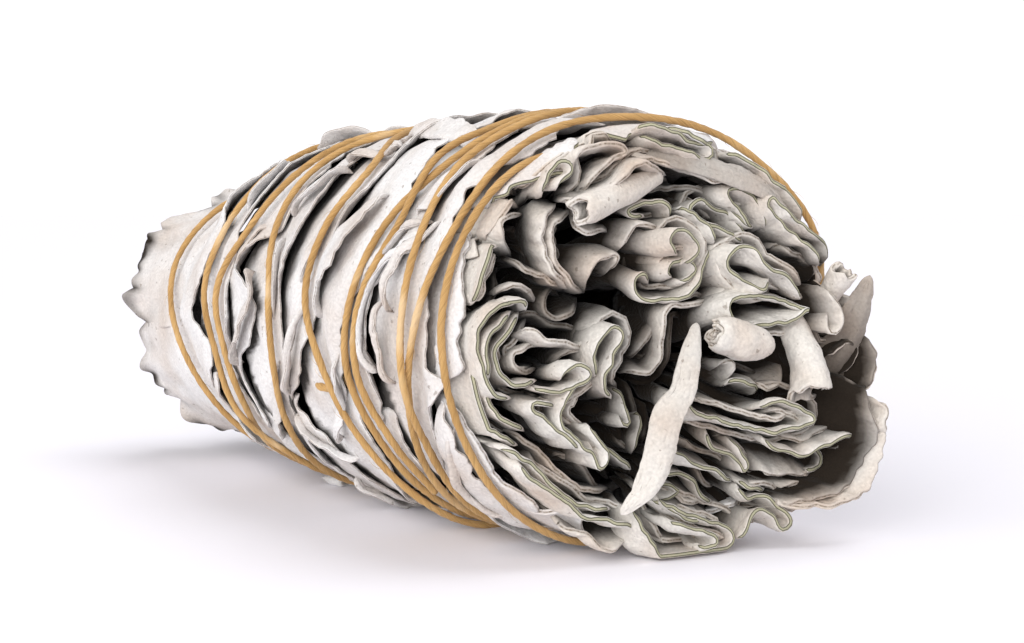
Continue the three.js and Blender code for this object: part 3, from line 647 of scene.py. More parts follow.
# How far the edge stands out, way back into the bunch (length, y, z), growth, and edge points (y, z).
# Then True for an uncut margin, and where its shade begins if not EDGE_SHADE.
TOP_FOLDS = [
    (-1, (9, -1, 0), 1, [(-16.2, 36), (-15.2, 37.4), (-13.8, 37.8), (-12.4, 37.4), (-11.6, 38),
     (-10.6, 39.8), (-8.6, 40.5), (-5.6, 40.8)], True),
    (0, (9, 0, 0), 1, [(-4.2, 40.2), (-2, 40.3), (0, 39.7), (2, 39), (3.6, 38.6), (3.9, 38), (3.2, 37.6),
     (1.8, 37.9), (0, 38.8), (-1.8, 39.3), (-3.8, 39.2)]),
    (-1, (10, -1, 0), 1, [(-13.4, 36.6), (-11.8, 36.8), (-10.8, 37.8), (-10, 39), (-8.8, 39.5),
     (-7.4, 39.6), (-6.2, 39.1), (-4.8, 39.5)], True),
    (-1.5, (9, -1, 0.5), 1, [(-12.8, 36.6), (-14, 36.7), (-15.2, 36.2), (-15.6, 35.2), (-15.2, 34.2)],
     True),
    (1, (8, -2, -0.5), 1.1, [(-12.9, 33.9), (-12.8, 35), (-12.1, 36.1), (-11.1, 36.8), (-10.2, 36.7),
     (-10.2, 35.9), (-11.2, 35.4), (-11.8, 34.6)]),
    (0, (10, -1.5, 0), 1.1, [(-10.6, 35.6), (-10, 37.4), (-8.8, 38.3), (-6.6, 38.5), (-4.8, 38.2),
     (-5.9, 37.4), (-7.4, 36.3), (-8.8, 35), (-10, 34.6)], True),
    (1, (10, 1, 1), 1, [(-11.3, 33.4), (-9.4, 34), (-7.4, 34.6), (-5.7, 35.2), (-4.6, 36.2), (-3.1, 37.3),
     (-1.9, 36.8), (-0.3, 36.1)], True),
    (0, (6, 0.5, 3.4), 1.02, [(-5, 37.9), (-2.2, 37.5), (0.6, 36.7), (3.8, 35.7), (7.1, 35.1), (9.7, 34.5),
     (11.4, 33.6)], True, 3),
    (0, (9, 1, 1.5), 1, [(5.4, 38.6), (7.8, 37.6), (10, 36.2), (12, 34.9), (13.2, 33.9), (13.6, 32.7),
     (14.4, 31.8)]),
    (-1, (8, 0, 1), 1, [(-2.6, 35), (-1.5, 36), (-0.6, 35.7), (0, 35.2)], True),
]
UPPER_LEFT_FOLDS = [
    (-2.5, (4, 8, 2.8), 0.9, [(-8.7, 33.5), (-9.7, 33.9), (-10.4, 33.2), (-10, 32.2), (-8.9, 31.7),
     (-7.7, 32.2), (-7.6, 33)], True),
    (0, (6, 6, 2.5), 1, [(-10.3, 32.2), (-9.6, 31.1), (-8.2, 30.6), (-6.4, 30.7)], True),
    (0, (11, -2, 1), 1.1, [(-11.5, 33.4), (-12.6, 32.1), (-13, 30.5), (-12.8, 28.9), (-11.8, 27.3),
     (-10.2, 25.5)], True),
    (-0.5, (10, -1, 1), 1, [(-10, 32.9), (-11.5, 32.2), (-12.1, 30.9), (-11.9, 29.3), (-10.9, 27.5),
     (-9.8, 26), (-8.8, 25)], True),
    (-1, (8, -2, 0.5), 1.6, [(-8.4, 25), (-8.4, 26.6), (-7.6, 28), (-6.2, 28.9), (-5.3, 28.6), (-5.8, 27.5),
     (-6.8, 26.2)], True),
    (-0.5, (9, -1.5, 0), 1, [(-15.4, 32.7), (-16.3, 33.4), (-17.6, 33.3), (-18.1, 32), (-18.2, 29.6)],
     True),
    (-0.5, (9, -1.5, 0), 1, [(-14.8, 32.2), (-15.8, 32.3), (-16.8, 31.6), (-16.8, 30), (-16, 28.4)], True),
    (0.5, (10, -2, 1), 1.1, [(-17.1, 29.4), (-18, 29.4), (-18.7, 28.1), (-19.8, 27.1), (-20.8, 26),
     (-21.4, 24.6)]),
    (0, (7, -1, 0.5), 1, [(-17.9, 28), (-18.4, 26.8), (-18.5, 25.6), (-19.4, 24.9), (-20.4, 25.4)], True),
    (-1.5, (7, -2, 1), 1.6, [(-11.4, 25.8), (-12.5, 25), (-12.4, 23.6), (-11.2, 22.8), (-10, 23.2),
     (-9.3, 24.6)], True),
    (-1, (10, -1, 1), 1, [(-17, 28.5), (-15.3, 28), (-13.6, 27.3), (-12, 26.2), (-10.4, 25.2)], True),
    (-1, (8, -1, 0), 1, [(-21, 28.6), (-20.4, 28.6), (-19.7, 29.8), (-19.4, 30.5)], True),
]
LEFT_FOLDS = [
    (1, (11, -1, 0), 1.1, [(-15.2, 24.6), (-16.6, 24.3), (-18, 23.4), (-18.9, 22), (-18.9, 20), (-18.2, 18),
     (-17.2, 16.5), (-15.8, 16)]),
    (1.4, (6, -1, 0), 1, [(-17.3, 24.2), (-16.6, 24.7), (-15.8, 24.9), (-14.7, 24.6), (-14.4, 23.8)]),
    (0.5, (10, -1, 0), 1, [(-14.9, 23.4), (-15.8, 22), (-17, 20.8), (-17.1, 19.2), (-16.2, 17.6),
     (-14.9, 17), (-13.4, 17.4)]),
    (0.7, (10, -1, 0), 1, [(-15.7, 23.6), (-16.6, 22.6), (-17.8, 21.8), (-18.2, 20.7), (-18, 19.2),
     (-17.6, 18)]),
    (0, (11, -2, 0.5), 1.2, [(-15.8, 20.8), (-14.8, 21.5), (-13.2, 21.5), (-11.4, 20.9), (-9.6, 20.4),
     (-8.2, 19.8)], True),
    (-0.5, (8, -1, 0), 1.2, [(-12.2, 20.7), (-14, 20.6), (-15.6, 20.1), (-15.8, 19.2), (-14.8, 18.4),
     (-13.4, 18.5)], True),
    (1, (10, -2, 1), 1, [(-11.2, 17.2), (-10.4, 18.3), (-9.3, 18.7), (-8.4, 18), (-9, 17.1), (-10.6, 16.4),
     (-12.4, 16.6), (-14.2, 17)]),
    (0.5, (9, -1, 0), 1.1, [(-7.7, 17.2), (-7.7, 19.4), (-7, 21.2), (-5.9, 22), (-5.1, 21.2), (-5.8, 19.8),
     (-6.4, 18), (-6.6, 16.6), (-6, 15.2)]),
    (-0.5, (7, 1, 1), 1, [(-5, 17.3), (-3.6, 17.7), (-2.1, 17.5), (-1.1, 18.9), (-0.7, 21.2), (-0.4, 23.2),
     (0.7, 24), (3, 23.9), (4.8, 23.3)], True),
    (-1.5, (7, 1, 1), 1, [(-5, 18.8), (-3.6, 19.3), (-2.1, 20.6), (-1.2, 22.3), (-0.5, 24), (1.5, 24.7),
     (4.6, 24.3)], True),
    (0, (12, -1, 0), 1.1, [(-20.5, 18.6), (-20.5, 16.8), (-19.9, 15), (-18.7, 13.5), (-17, 12.5),
     (-15.2, 11.4)]),
    (-0.5, (11, -1, 0), 1.1, [(-18.4, 17.4), (-18, 15.8), (-17.2, 14.4), (-15.8, 13.5), (-14.8, 12.4)]),
    (1, (8, -2, -0.5), 1.1, [(-11.4, 15.1), (-12.6, 15.7), (-14, 15.2), (-12.6, 14), (-11, 12.7),
     (-9.2, 10.9)]),
    (1, (8, -1, 0), 1.1, [(-8.6, 17.3), (-10.2, 16.5), (-11.2, 15), (-10.8, 13.2), (-9.2, 11.8),
     (-8.1, 10.6), (-7.2, 9.1), (-6.6, 10), (-7.4, 11.8), (-8.8, 13.1)]),
    (-3, (6, -1, 0), 1, [(-7.8, 13.2), (-7, 14.2), (-5.6, 13.4), (-4.8, 11.8), (-4.5, 9.8)]),
    (-1, (7, -1, 0), 1, [(-6.2, 16.4), (-5, 14.9), (-4.2, 13), (-4.8, 12.8), (-5.6, 14)]),
]
LOW_FOLDS = [
    (-2.5, (7, -2, 0), 1, [(-12.4, 9.2), (-11.2, 10.2), (-9.4, 9.8), (-8, 7.8), (-6.4, 5.6)], True),
    (0.5, (13, -1, 0), 1.05, [(-17.4, 11.4), (-15.6, 11.2), (-14, 10.1), (-12.2, 8.3), (-10, 6.6),
     (-8, 5.6), (-6, 5.1)]),
    (1, (14, -1, 0.5), 1.1, [(-15.2, 10.2), (-13.6, 8.4), (-11.2, 6.8), (-9, 5.2), (-6.6, 4.3),
     (-3.6, 3.2)]),
    (0, (8, -2, 0), 1, [(-12, 4.2), (-9, 2.7), (-6.4, 1.8), (-3.8, 2.4)], True),
    (1, (5, 0, 0), 1, [(-4.4, 5.2), (-3, 3.8), (-2, 1.9), (-1.4, 0.3), (0, 0.3), (2, 0.3), (4, 0.3),
     (5.2, 0.3), (6.5, 1.4), (5.6, 2.6), (3.4, 3.5), (0.6, 4.8), (-1.6, 6.2)]),
    (1.5, (5, 0, 0), 1, [(-0.6, 4), (1.4, 3.2), (3.6, 2.4), (4.6, 1.5), (3.4, 1.2), (2.4, 1.5)]),
    (0, (9, -1, 1), 1, [(-1, 10.4), (1.4, 9.2), (4, 8.1), (6.8, 6.3)]),
    (-0.5, (8, -1, 1), 1, [(-2, 8.1), (0.8, 7.7), (2.6, 6.6), (3.8, 5.4), (4.8, 4.6)]),
    (-1, (7, -1, 1), 1, [(-2, 7), (0, 6.8), (1.1, 6.2), (0.2, 5.6), (-1.6, 6)]),
    (0, (8, 0, 1), 1, [(3.9, 12), (4.6, 10.4), (6.6, 9.3), (7.8, 7.4), (8.5, 8.2), (7.2, 9.8),
     (5.8, 10.8)]),
    (0.5, (7, 1, 0.5), 1, [(7, 6.4), (8.2, 4.9), (10, 5), (11.4, 3.9), (13, 2.6), (12, 2), (10.6, 3.2),
     (9, 3.6), (8, 2.4), (7, 0.9)]),
    (-1, (7, -1, 0), 1, [(-6.9, 11.3), (-5.2, 9.6), (-3.8, 8.2)]),
    (-1.5, (7, -1, 0), 1, [(-4.2, 13.2), (-3.2, 13.2), (-3.3, 11), (-3.7, 9.5)]),
    (1, (5, -1, 1), 1, [(-2.5, 5.9), (-1, 5.3), (0.6, 4.4), (2.2, 3.7), (4, 3.3)]),
    (0, (6, 0, 1), 1, [(7, 7), (8.3, 6.5), (10.6, 5.7)]),
    (-0.5, (3, 0, 2.3), 1, [(8.4, 7.8), (10.4, 7.3), (12.6, 7.1), (14.6, 7), (16.5, 7)], True),
    (0.5, (5, 0, 1), 1, [(13.5, 7.1), (14.6, 6.7), (15.6, 6.3)], True),
]
RIGHT_FOLDS = [
    (1, (6, -1, 0), 1.3, [(0.6, 28.5), (-0.2, 28.8), (-0.6, 29.8), (0, 30.8), (1.2, 30.9), (2.3, 30.2),
     (2.4, 29), (1.6, 28.2), (0.7, 28)]),
    (0.8, (6, -1, 0), 1.3, [(0, 26.3), (-0.5, 27), (0, 27.9), (1.3, 28.1), (2.3, 27.4), (2.3, 26.5),
     (1.3, 26), (0.2, 26.2)]),
    (-1, (8, -1, 0), 1, [(-6, 28.4), (-4.9, 30), (-3.4, 31.4), (-1.7, 31.4), (-0.7, 30)], True),
    (-2, (8, -1, 0), 1, [(-4.6, 29.2), (-3.9, 30.2), (-3, 30.5), (-2.3, 29.9), (-2, 27.4)], True),
    (0, (8, -1, 0), 1, [(-2.2, 25.8), (-3, 26.9), (-3.9, 26.2), (-3.6, 25.1), (-1.8, 24.4), (0.6, 24.5),
     (2.6, 25.9), (3.3, 28), (4.4, 29.4)]),
    (-0.5, (8, 0, 1), 1, [(-0.2, 31.8), (-0.2, 33), (-1.4, 33.6), (-3.4, 33.2), (-4.5, 32.6),
     (-2.6, 32.1)]),
    (-2, (8, 0, 1), 1, [(-3.8, 33.9), (-1.6, 34.8), (1.2, 35), (3.6, 34.4), (5.2, 32.6)], True),
    (0, (8, 0, 1), 1, [(0, 32.6), (1.4, 33), (3, 32), (4.6, 30.4), (4.6, 29.4)]),
    (-0.5, (9, 0, 1), 1, [(7.8, 29.6), (5.8, 30.6), (3.6, 31.6), (2, 32.8), (3, 33.5), (5, 32.4), (7, 31.2),
     (8.4, 30.2)]),
    (0, (9, 0, 1), 1, [(10, 30.8), (9.6, 32.3), (8.4, 33.9), (6.9, 35), (5.7, 34.7), (6, 33.6), (7.6, 32.3),
     (9, 31.2)]),
    (-0.5, (7, 0, 1), 1, [(5.9, 33.5), (6.2, 32.5), (7, 31.8), (8, 31.3), (9, 31.2)]),
    (0.5, (11, -0.5, 1), 1, [(16, 27.2), (15.3, 28.7), (13.4, 29.9), (11.6, 31.3), (9.8, 33), (10.4, 34),
     (11.4, 33), (12.8, 31.6), (15, 30.4), (16.3, 29), (16.8, 27.4)]),
    (1.5, (9, -1, 0.5), 1.05, [(10.4, 26.3), (9.7, 25.1), (8.3, 25.4), (6.6, 26.6), (5.9, 27.9),
     (6.9, 28.9), (8.6, 28.7), (9.6, 27.6), (11.4, 26.8), (12.8, 25.7), (13.9, 24)]),
    (1, (9, -1, -0.5), 1.1, [(7, 22.3), (5.8, 23.4), (6.4, 24.6), (8.6, 24.9), (11, 24.4), (13.7, 23.7),
     (14.7, 23), (12.8, 22.4), (9.8, 22), (8, 22)]),
    (-0.5, (8, -1, 0), 1, [(3.4, 27.8), (4.2, 28.9), (5.2, 29.6), (6.8, 29.6), (6, 29.2)], True),
    (-1.5, (9, -1, 0), 1, [(9.6, 28.6), (11.6, 29.3), (13.6, 28.6), (15.2, 27.2), (15.6, 25.9), (14, 25.5)],
     True),
    (0.5, (10, -1, 0.5), 1, [(13.8, 22.2), (14.7, 20), (15.3, 18), (15.7, 16.2), (15.2, 14.8),
     (16.5, 14.2)], True),
    (2, (9, -0.5, 1), 1, [(1.5, 15.4), (2.6, 13.8), (5, 12.9), (8, 12.3), (11, 11.6), (13.4, 11.6),
     (15.3, 12.5), (13.6, 13.9), (11.2, 14.3), (9, 13.4)]),
    (1, (9, 0, 2.5), 1, [(9.6, 11), (12, 9.8), (14, 9.2), (16.4, 9.9), (20.2, 10.9)]),
    (0, (11, -0.5, 0), 1, [(14.4, 9.5), (16, 9.2), (16.8, 8.2), (16.4, 7.1), (14.4, 6.8)]),
    (-3, (6, -1, 0), 1, [(17.4, 26.4), (16.9, 26.6), (17.7, 27.2), (19.9, 27.4), (19.7, 26.6),
     (18.2, 26.1)], True, -1),
    (1.5, (7, -1.5, 0), 1, [(15.5, 25.1), (16.7, 24.8), (17.7, 23.8), (18.3, 22.6), (18.1, 21.6),
     (17.1, 21.3), (16.9, 22.4), (17.6, 22.9)], True, -0.2),
    (0.5, (6, -1, 0), 1, [(20.1, 23.1), (20.1, 24), (19.4, 24.2), (18.9, 23.5), (19.2, 22.8)]),
    (0.5, (10, -2, -0.5), 1, [(20.6, 21.4), (21.3, 20.6), (22.4, 18.6), (22.2, 16.6), (21.8, 14.9),
     (20.4, 14.2)], True, -0.5),
    (0, (9, -1, 0), 1, [(15.8, 17.6), (17.6, 18.6), (19.2, 19.8), (20.2, 19), (19.8, 17.4), (17.9, 15.7)],
     True, -0.8),
    (1.5, (9, -4, 2), 0.95, [(11.1, 4.4), (16.3, 4.9), (19.8, 6.1), (21.4, 8.5), (21.9, 11.5), (21.5, 13.6),
     (20.9, 15.2), (20, 14.4)], True, -1.5),
    (2, (11, -2, 1), 0.92, [(11.1, 4.2), (14.9, 4.1), (18.4, 4.4), (21.3, 5.3), (23, 6.2), (24, 8),
     (24, 9.8), (22.9, 11.8), (23.1, 13.2), (21.8, 14.2)], True, 0.5),
    (-1.5, (6, 0, 1), 1, [(7.4, 16.6), (9, 15.7), (10.6, 15.4), (12, 16), (12.6, 17.6)], True, 2.2),
    (-1, (6, 0, 0), 1, [(4.2, 17.2), (5.2, 17.9), (6.6, 17.9), (6.1, 16.6), (5.2, 15.4)], True),
    (-0.5, (6, 0, 0), 1, [(6, 15.6), (6.8, 16.4), (8.2, 16.3), (9.2, 15.4), (8.6, 14.8)]),
    (2.6, (3, -0.5, 0.3), 1, [(8, 19.5), (8.9, 20), (9.9, 19.9), (10.2, 19.1), (9.4, 18.7), (8.3, 18.9),
     (8, 19.3)], True, -0.6),
]

EDGE_SHADE = 0.4
LAST_VALUES = (False, EDGE_SHADE)       # of an entry that leaves them out
NESTED_SHADE = 0.7
NESTED_SPACING = 0.62
NESTED_ROWS = 7
index = 0
for name, folds in (
    ("folded_leaves_top", TOP_FOLDS),
    ("folded_leaves_upper_left", UPPER_LEFT_FOLDS),
    ("folded_leaves_left", LEFT_FOLDS),
    ("folded_leaves_low", LOW_FOLDS),
    ("folded_leaves_right", RIGHT_FOLDS),
):
    bm = leaf_mesh()
    for *fold, natural, shade_from in [entry + LAST_VALUES[len(entry) - 4:] for entry in folds]:
        folded_leaf(bm, index, fold, natural, shade_from)

        # Other leaves of the same fold, beside it and a little lower
        nested = [] if natural and index % 2 else [(1.3, 2.6)] if natural else [(1.15, 1.9)]
        if index % 3 == 0:
            nested.append((-1.3, 2.8))
        for aside, lower in nested:
            folded_leaf(bm, index, fold, True, NESTED_SHADE, aside, lower, NESTED_SPACING, NESTED_ROWS)
        index += 1
    finish_piece(bm, name, rolled_sage, ["rolled_leaves"])


# Leaves that lie across the cut end, in front of the folds: a narrow one that hangs over it, seen from its
# flat side, four rolled ones, a pointed one that stands up at the right, and a flat one across the top.
def on_face(y, z, proud):
    """A point that stands proud of the cut end."""
    return Vector((FACE_X + FACE_SLOPE * y + proud, y - LIP_LEAN * proud, z))


def blade(bm, spine, widths, toward, curl, index, deep=(0.0, 0.0), tint=0.0):
    """A whole small leaf along its midrib, with its rounded back toward a direction. curl is how far its two
    margins bend away, and deep the painted shade at its two ends."""
    line = smooth_line([on_face(*point) for point in spine], 0.3)
    last = len(line) - 1
    rows = 28

    def place(j, i):
        v = 2 * j / rows - 1
        p = line[i]
        u = i / last
        ahead = (line[min(i + 1, last)] - line[max(i - 1, 0)]).normalized()
        across = ahead.cross(toward).normalized()
        out = across.cross(ahead).normalized()
        bent = radians(curl) * (1 + 0.5 * drift(u * 4, index))
        full = along(widths, u) / 2 * (1 + 0.1 * drift(i * 0.1, index, 8 + v))
        full *= 1 - (0.05 * abs(sin(i * 0.9)) + 0.08 * drift(i * 0.5, index, v)) * abs(v) ** 6
        crease = 0.3 * drift(i * 0.05, v * 1.6, index) + 0.12 * drift(i * 0.3, v * 4, index)
        bulge = full * (cos(v * bent) - cos(bent)) / sin(bent) + crease * min(full, 1)
        point = p + across * (full * sin(v * bent) / sin(bent)) + out * bulge
        return point, (1.0, mix(deep[0], deep[1], u), tint)

    leaf(bm, rows, last, place)


def rolled_leaf(bm, start, end, radii, turns, index, facing, tight, bend=(0, 0, 0)):
    """A leaf rolled up on itself round a line from its open end. radii are its sizes along the line. One skin
    is darkened with painted shade away from its open end.
    """
    start, end, bend = on_face(*start), on_face(*end), Vector(bend)
    axis = (end - start).normalized()
    across = axis.cross(Vector((0.3, 0.2, 1))).normalized()
    up = across.cross(axis)
    columns = round(turns * 2 * pi * 1.7 / 0.3)
    rows = 24

    def place(j, i):
        t = j / rows
        s = i / columns
        theta = facing + 2 * pi * turns * s + 0.7 * t
        wide = along(radii, t) * (1 - tight * s)
        wide *= 1 + 0.22 * drift(cos(theta), sin(theta), t * 2.2 + index)
        wide *= 1 + 0.1 * drift(cos(theta) * 3, sin(theta) * 3, t * 6 + index)
        lip = 1.0 * drift(cos(theta) * 1.3, sin(theta) * 1.3, index) * (1 - t) ** 2
        lip += 0.15 * drift(theta * 4, index, 3) * (1 - t) ** 4
        centre = start + (end - start) * t - axis * lip + bend * (4 * t * (1 - t))
        return centre + (across * cos(theta) + up * sin(theta)) * wide, (1.0, 0.0, 0.1)

    leaf(bm, rows, columns, place, hollow_shade=1.7)


TO_CAMERA = Vector((0.79, -0.61, 0.07))
HANGING_LEAF = [
    (2.4, 22.3, 1.4), (1.8, 20.3, 2.3), (1.2, 17.8, 3.0), (0.6, 16, 3.4), (-0.7, 14.4, 3.7),
    (-1.2, 12.7, 3.7), (-1.7, 10.8, 3.5), (-2.3, 8.9, 3.2), (-3.4, 7, 2.7), (-4.5, 5.8, 2.2),
    (-5.3, 5, 1.8),
]
HANGING_WIDTHS = [
    (0, 0.15), (0.05, 0.8), (0.15, 1.6), (0.26, 2.0), (0.36, 2.15), (0.48, 2.75), (0.6, 2.7), (0.75, 2.5),
    (0.86, 1.8), (0.94, 0.9), (1, 0.1),
]
bm = leaf_mesh()
# The hanging leaf has a little painted shade toward its top end
blade(bm, HANGING_LEAF, HANGING_WIDTHS, TO_CAMERA + Vector((0, -0.25, 0.1)), 42, 1.0, (0.16, 0.0), 0.1)

# From and to, sizes along the roll, turns, number, first angle, tightness, and how its middle bends aside
ROLLED_LEAVES = [
    ((4.4, 21.4, 1.6), (10.2, 19.9, 1.4), [(0, 1.45), (0.08, 1.75), (0.5, 1.95), (0.85, 1.5), (1, 0.8)],
     2.3, 5.0, pi, 0.85),
    ((14.6, 15.2, 1.6), (12.9, 22, -1.5), [(0, 2.2), (0.15, 1.85), (0.6, 1.6), (1, 1.2)],
     0.9, 6.0, 0, 0.2, (0.5, 0.3, 0)),
    ((-9.3, 32.7, 1.4), (-1.2, 36, -1.2), [(0, 1.25), (0.06, 1.4), (0.6, 1.15), (1, 0.6)],
     1.3, 7.0, 2.6, 0.3),
    ((18.5, 26.8, 0.9), (16.4, 22.6, -2), [(0, 1.15), (0.3, 1.05), (1, 0.7)],
     1.1, 8.0, 2.0, 0.15),
]
for roll in ROLLED_LEAVES:
    rolled_leaf(bm, *roll)

# The pointed leaf is side on to the light, and the flat one lies under the folded edge above it; both
# are darkened with painted shade
blade(bm, [(16.6, 14.6, -2.4), (18.2, 18.4, -1), (19.6, 21.4, 0), (20.8, 24.2, 0.3), (21.7, 26.3, 0.3)],
      [(0, 3.4), (0.4, 3.7), (0.65, 3.1), (0.85, 1.9), (0.95, 0.9), (1, 0.1)],
      Vector((0.6, -0.2, 0.3)), 28, 2.0, (1.0, 0.3), 0.2)
blade(bm, [(-2.6, 37.9, -1.6), (1.4, 37.3, -0.6), (5.4, 36.2, 0), (9, 34.9, -0.1), (12.4, 33, -1.2)],
      [(0, 1.6), (0.2, 2.4), (0.55, 2.6), (0.85, 2.0), (1, 0.8)],
      TO_CAMERA + Vector((0, 0, 0.7)), 24, 5.0, (0.5, 0.1))
finish_piece(bm, "leaves_across_the_cut", rolled_sage, ["rolled_leaves"])

# The imported middle: more leaves, pressed together too tightly to tell apart. Only its ridged front shows,
# at the bottom of the hollows between the folded leaves, and it is painted near black all over as shade.
CORE_FROM = -35
CORE_TO = 38
CORE_HOLLOW = 15        # how far its front falls in toward the axis
CORE_RINGS = 40
CORE_SIDES = 96
SIDE_SHARE = 0.6        # this share of the rings makes its side, the others its front
bm = leaf_mesh()
bmesh.ops.create_grid(bm, x_segments=CORE_RINGS, y_segments=CORE_SIDES, size=0.5)
layer = bm.verts.layers.float_color["leaf_marks"]
for v in bm.verts:
    share = v.co.x + 0.5
    angle = (v.co.y + 0.5) * 360
    body = clamp(share / SIDE_SHARE)
    inner = clamp((share - SIDE_SHARE) / (1 - SIDE_SHARE))
    x = mix(CORE_FROM, CORE_TO, body) - CORE_HOLLOW * inner**0.8
    ridge = 0.5 * sin(radians(angle) * 12) + 0.8 * drift(x * 0.2, angle * 0.05)
    depth = SHINGLE + LEAF + 2 * GAP + 1.4 + ridge
    shell = on_bunch(x, angle, depth, UNDERSIDE)
    axis = Vector((x, 0, axis_height(x)))
    v.co = axis + (shell - axis) * (1 - inner)
    # The full painted shade mark
    v[layer] = (0, 0, 1, 0.3)
bmesh.ops.remove_doubles(bm, verts=bm.verts, dist=1e-3)
bmesh.ops.holes_fill(bm, edges=[e for e in bm.edges if e.is_boundary], sides=CORE_SIDES)
finish_piece(bm, "packed_middle", rolled_sage, ["rolled_leaves"])

# The far end: five whole leaves wrapped round the narrow end of the bunch. Their lobed tips stand free past
# the last turn of the string, and smaller tips stick out of the middle between them.
ARC = 20                # radius that lengths round the bunch are measured at
PRESSED = 0.04          # how far a leaf stands out right beside the string
SWOLLEN = 0.8           # and how much more between two turns
STRING_TURNS = []
for whole_angle in range(360):
    crossings = []
    for turn in range(int((ROUTE[-1][0] - whole_angle) // 360) + 1):
        counted = whole_angle + 360 * turn
        if FIRST_ANGLE <= counted <= ROUTE[-1][0]:
            crossings.append(along(ROUTE, counted))
    STRING_TURNS.append(crossings)


def swelling(x, angle):
    """How far the leaves stand out between the string's turns."""
    nearest = min(abs(x - turn) for turn in STRING_TURNS[int(angle) % 360])
    return PRESSED + SWOLLEN * (1 - exp(-((nearest / 2.2) ** 2)))


FAR_LEAVES = 5
FAR_FROM = -17.5        # where they start, under the outer leaves
FAR_LENGTH = 18.7
FAR_ARC = 15
FAR_START = 108
FREE_FROM = 0.78        # the last part of each stands free
FREE_SHARE = 0.22

# Angle, and how far the tips there stand out from the bunch
FAR_FLARE = [
    (0, 2), (60, 2.4), (95, 3.2), (125, 3.4), (150, 2.4), (170, 1.4), (186, 0.6), (210, 0.4), (240, 0.6),
    (300, 1), (360, 2),
]


def far_leaf(bm, start, sweep, phase):
    """A leaf of the far end, from an angle on, whose tip is lobed, waved and bent in or out."""
    tint = 0.1 * drift(phase * 5, 8)
    rows, columns = 36, 96

    def place(j, i):
        s = 1 - j / rows
        free = clamp((s - FREE_FROM) / FREE_SHARE)
        t = i / columns
        angle = start + sweep * t
        arc = radians(angle) * FAR_ARC
        tip = FAR_LENGTH + 1.3 * cos(radians(angle - 165)) - 1.2 * clamp(-sin(radians(angle)))
        tip -= 2.4 * (1 - sin(pi * t) ** 0.7)
        lobe = abs(drift(arc * 0.27, phase, 4))
        tip += 1.2 * drift(arc * 0.15, phase) + 4.2 * lobe - 0.8

        # The free part bends out or in, and reaches less far where it bends out
        bent = 1.1 * drift(arc * 0.24, phase, 9) + 0.2
        reach = 0.19 * tip * free * (1 - 0.45 * max(bent, 0) * free)
        x = FAR_FROM - FREE_FROM * tip * min(s / FREE_FROM, 1) - reach
        x += along(TOP_SLANT, FAR_FROM) * sin(radians(angle)) * (1 - s)
        curl = 0.11 * tip * bent * free**2
        ruffle = 0.4 * sin(phase + 13 * t) + 1.0 * drift(arc * 0.35, s * 2, phase)
        ruffle += 1.2 * drift(arc * 0.45, s * 2, phase + 2) * s**4
        ruffle = ruffle * s**4 + 0.35 * drift(arc * 0.3, x * 0.3, phase)
        out = swelling(x, angle) * clamp((x + 46) / 14)
        flare = clamp((s - 0.45) / 0.55) ** 2 * (0.5 + 0.5 * sin(pi * t) ** 0.5)
        out += along(FAR_FLARE, angle % 360) * flare
        out -= 1.2 * clamp(1 - 3.5 * lobe) * free**2
        depth = LEAF / 2 + GAP + 1.2 * (1 - s) ** 3 - ruffle - curl - out
        point = on_bunch(x, angle, depth, UNDERSIDE)

        # Painted shade darkens it where it bends out, in its hollows and between its lobes
        shade = 1.1 * clamp(bent) * clamp(2.4 * free - 0.9) + clamp(-1.3 * ruffle * s * s) * 0.8 + 0.1 * s**3
        shade += 0.6 * clamp(1 - 5 * lobe) * free
        return point, (1.0, clamp(shade), tint + 0.5 * s**4)

    leaf(bm, rows, columns, place, margin_share=0.6)


def inner_tip(bm, angle, radius, reach, width, phase):
    """A ruffled tip inside the far end, at an angle and a radius from the axis."""
    a = radians(angle)
    rows, columns = 20, 50

    def place(j, i):
        s = 1 - j / rows
        t = i / columns
        side = width * (t - 0.5) * (0.7 + 0.3 * sin(pi * s))
        wave = 1.0 * s * s * sin(phase + 9 * t) + 2.0 * s * drift(t * 5, s * 2, phase)
        wave += 2.2 * s**4 * drift(t * 8, s * 3, phase + 5)
        out = radius + wave + 1.2 * s * s
        x = mix(TIPS_FROM, TIPS_TO - reach, s) + 0.8 * sin(phase + 5 * t) * s
        x += (1.8 * drift(t * 4, phase, 2) + 0.6 * drift(t * 12, phase, 4)) * s
        y = out * cos(a) - side * sin(a)
        z = axis_height(x) + out * sin(a) + side * cos(a)
        # Painted shade, darker toward its root and where its waves dip in
        return Vector((x, y, z)), (1.0, clamp(0.9 - 0.8 * s - 0.3 * wave * s), 0.4)

    leaf(bm, rows, columns, place)


TIPS_FROM = -26
TIPS_TO = -38
MIDDLE_TIPS = 3
TIPS_AROUND = 7
seed = 20
bm = leaf_mesh()
for i in range(TIPS_AROUND):
    inner_tip(bm, i * 51 + draw(-8, 8), draw(7.6, 8.6), draw(2, 5), 10, draw(0, 6))
for i in range(MIDDLE_TIPS):
    inner_tip(bm, i * 360 / MIDDLE_TIPS + 20, 4.5, draw(0, 3), 9, draw(0, 6))
finish_piece(bm, "leaf_tips", rolled_sage, ["rolled_leaves"])

for number in range(1, FAR_LEAVES + 1):
    sweep = 360 / FAR_LEAVES
    bm = leaf_mesh()
    far_leaf(bm, FAR_START + (number - 1) * sweep, sweep + 4, draw(0, 6))
    finish_piece(bm, f"far_leaf_{number:02d}", outer_sage, [f"outer_leaf_{number:02d}"])

# The outer leaves: whole leaves wrapped round the bunch in overlapping rows of three. The string presses them
# in, and they swell out and curl up a little between its turns.
LEAVES_IN_ROW = 3
ROW_START = 96

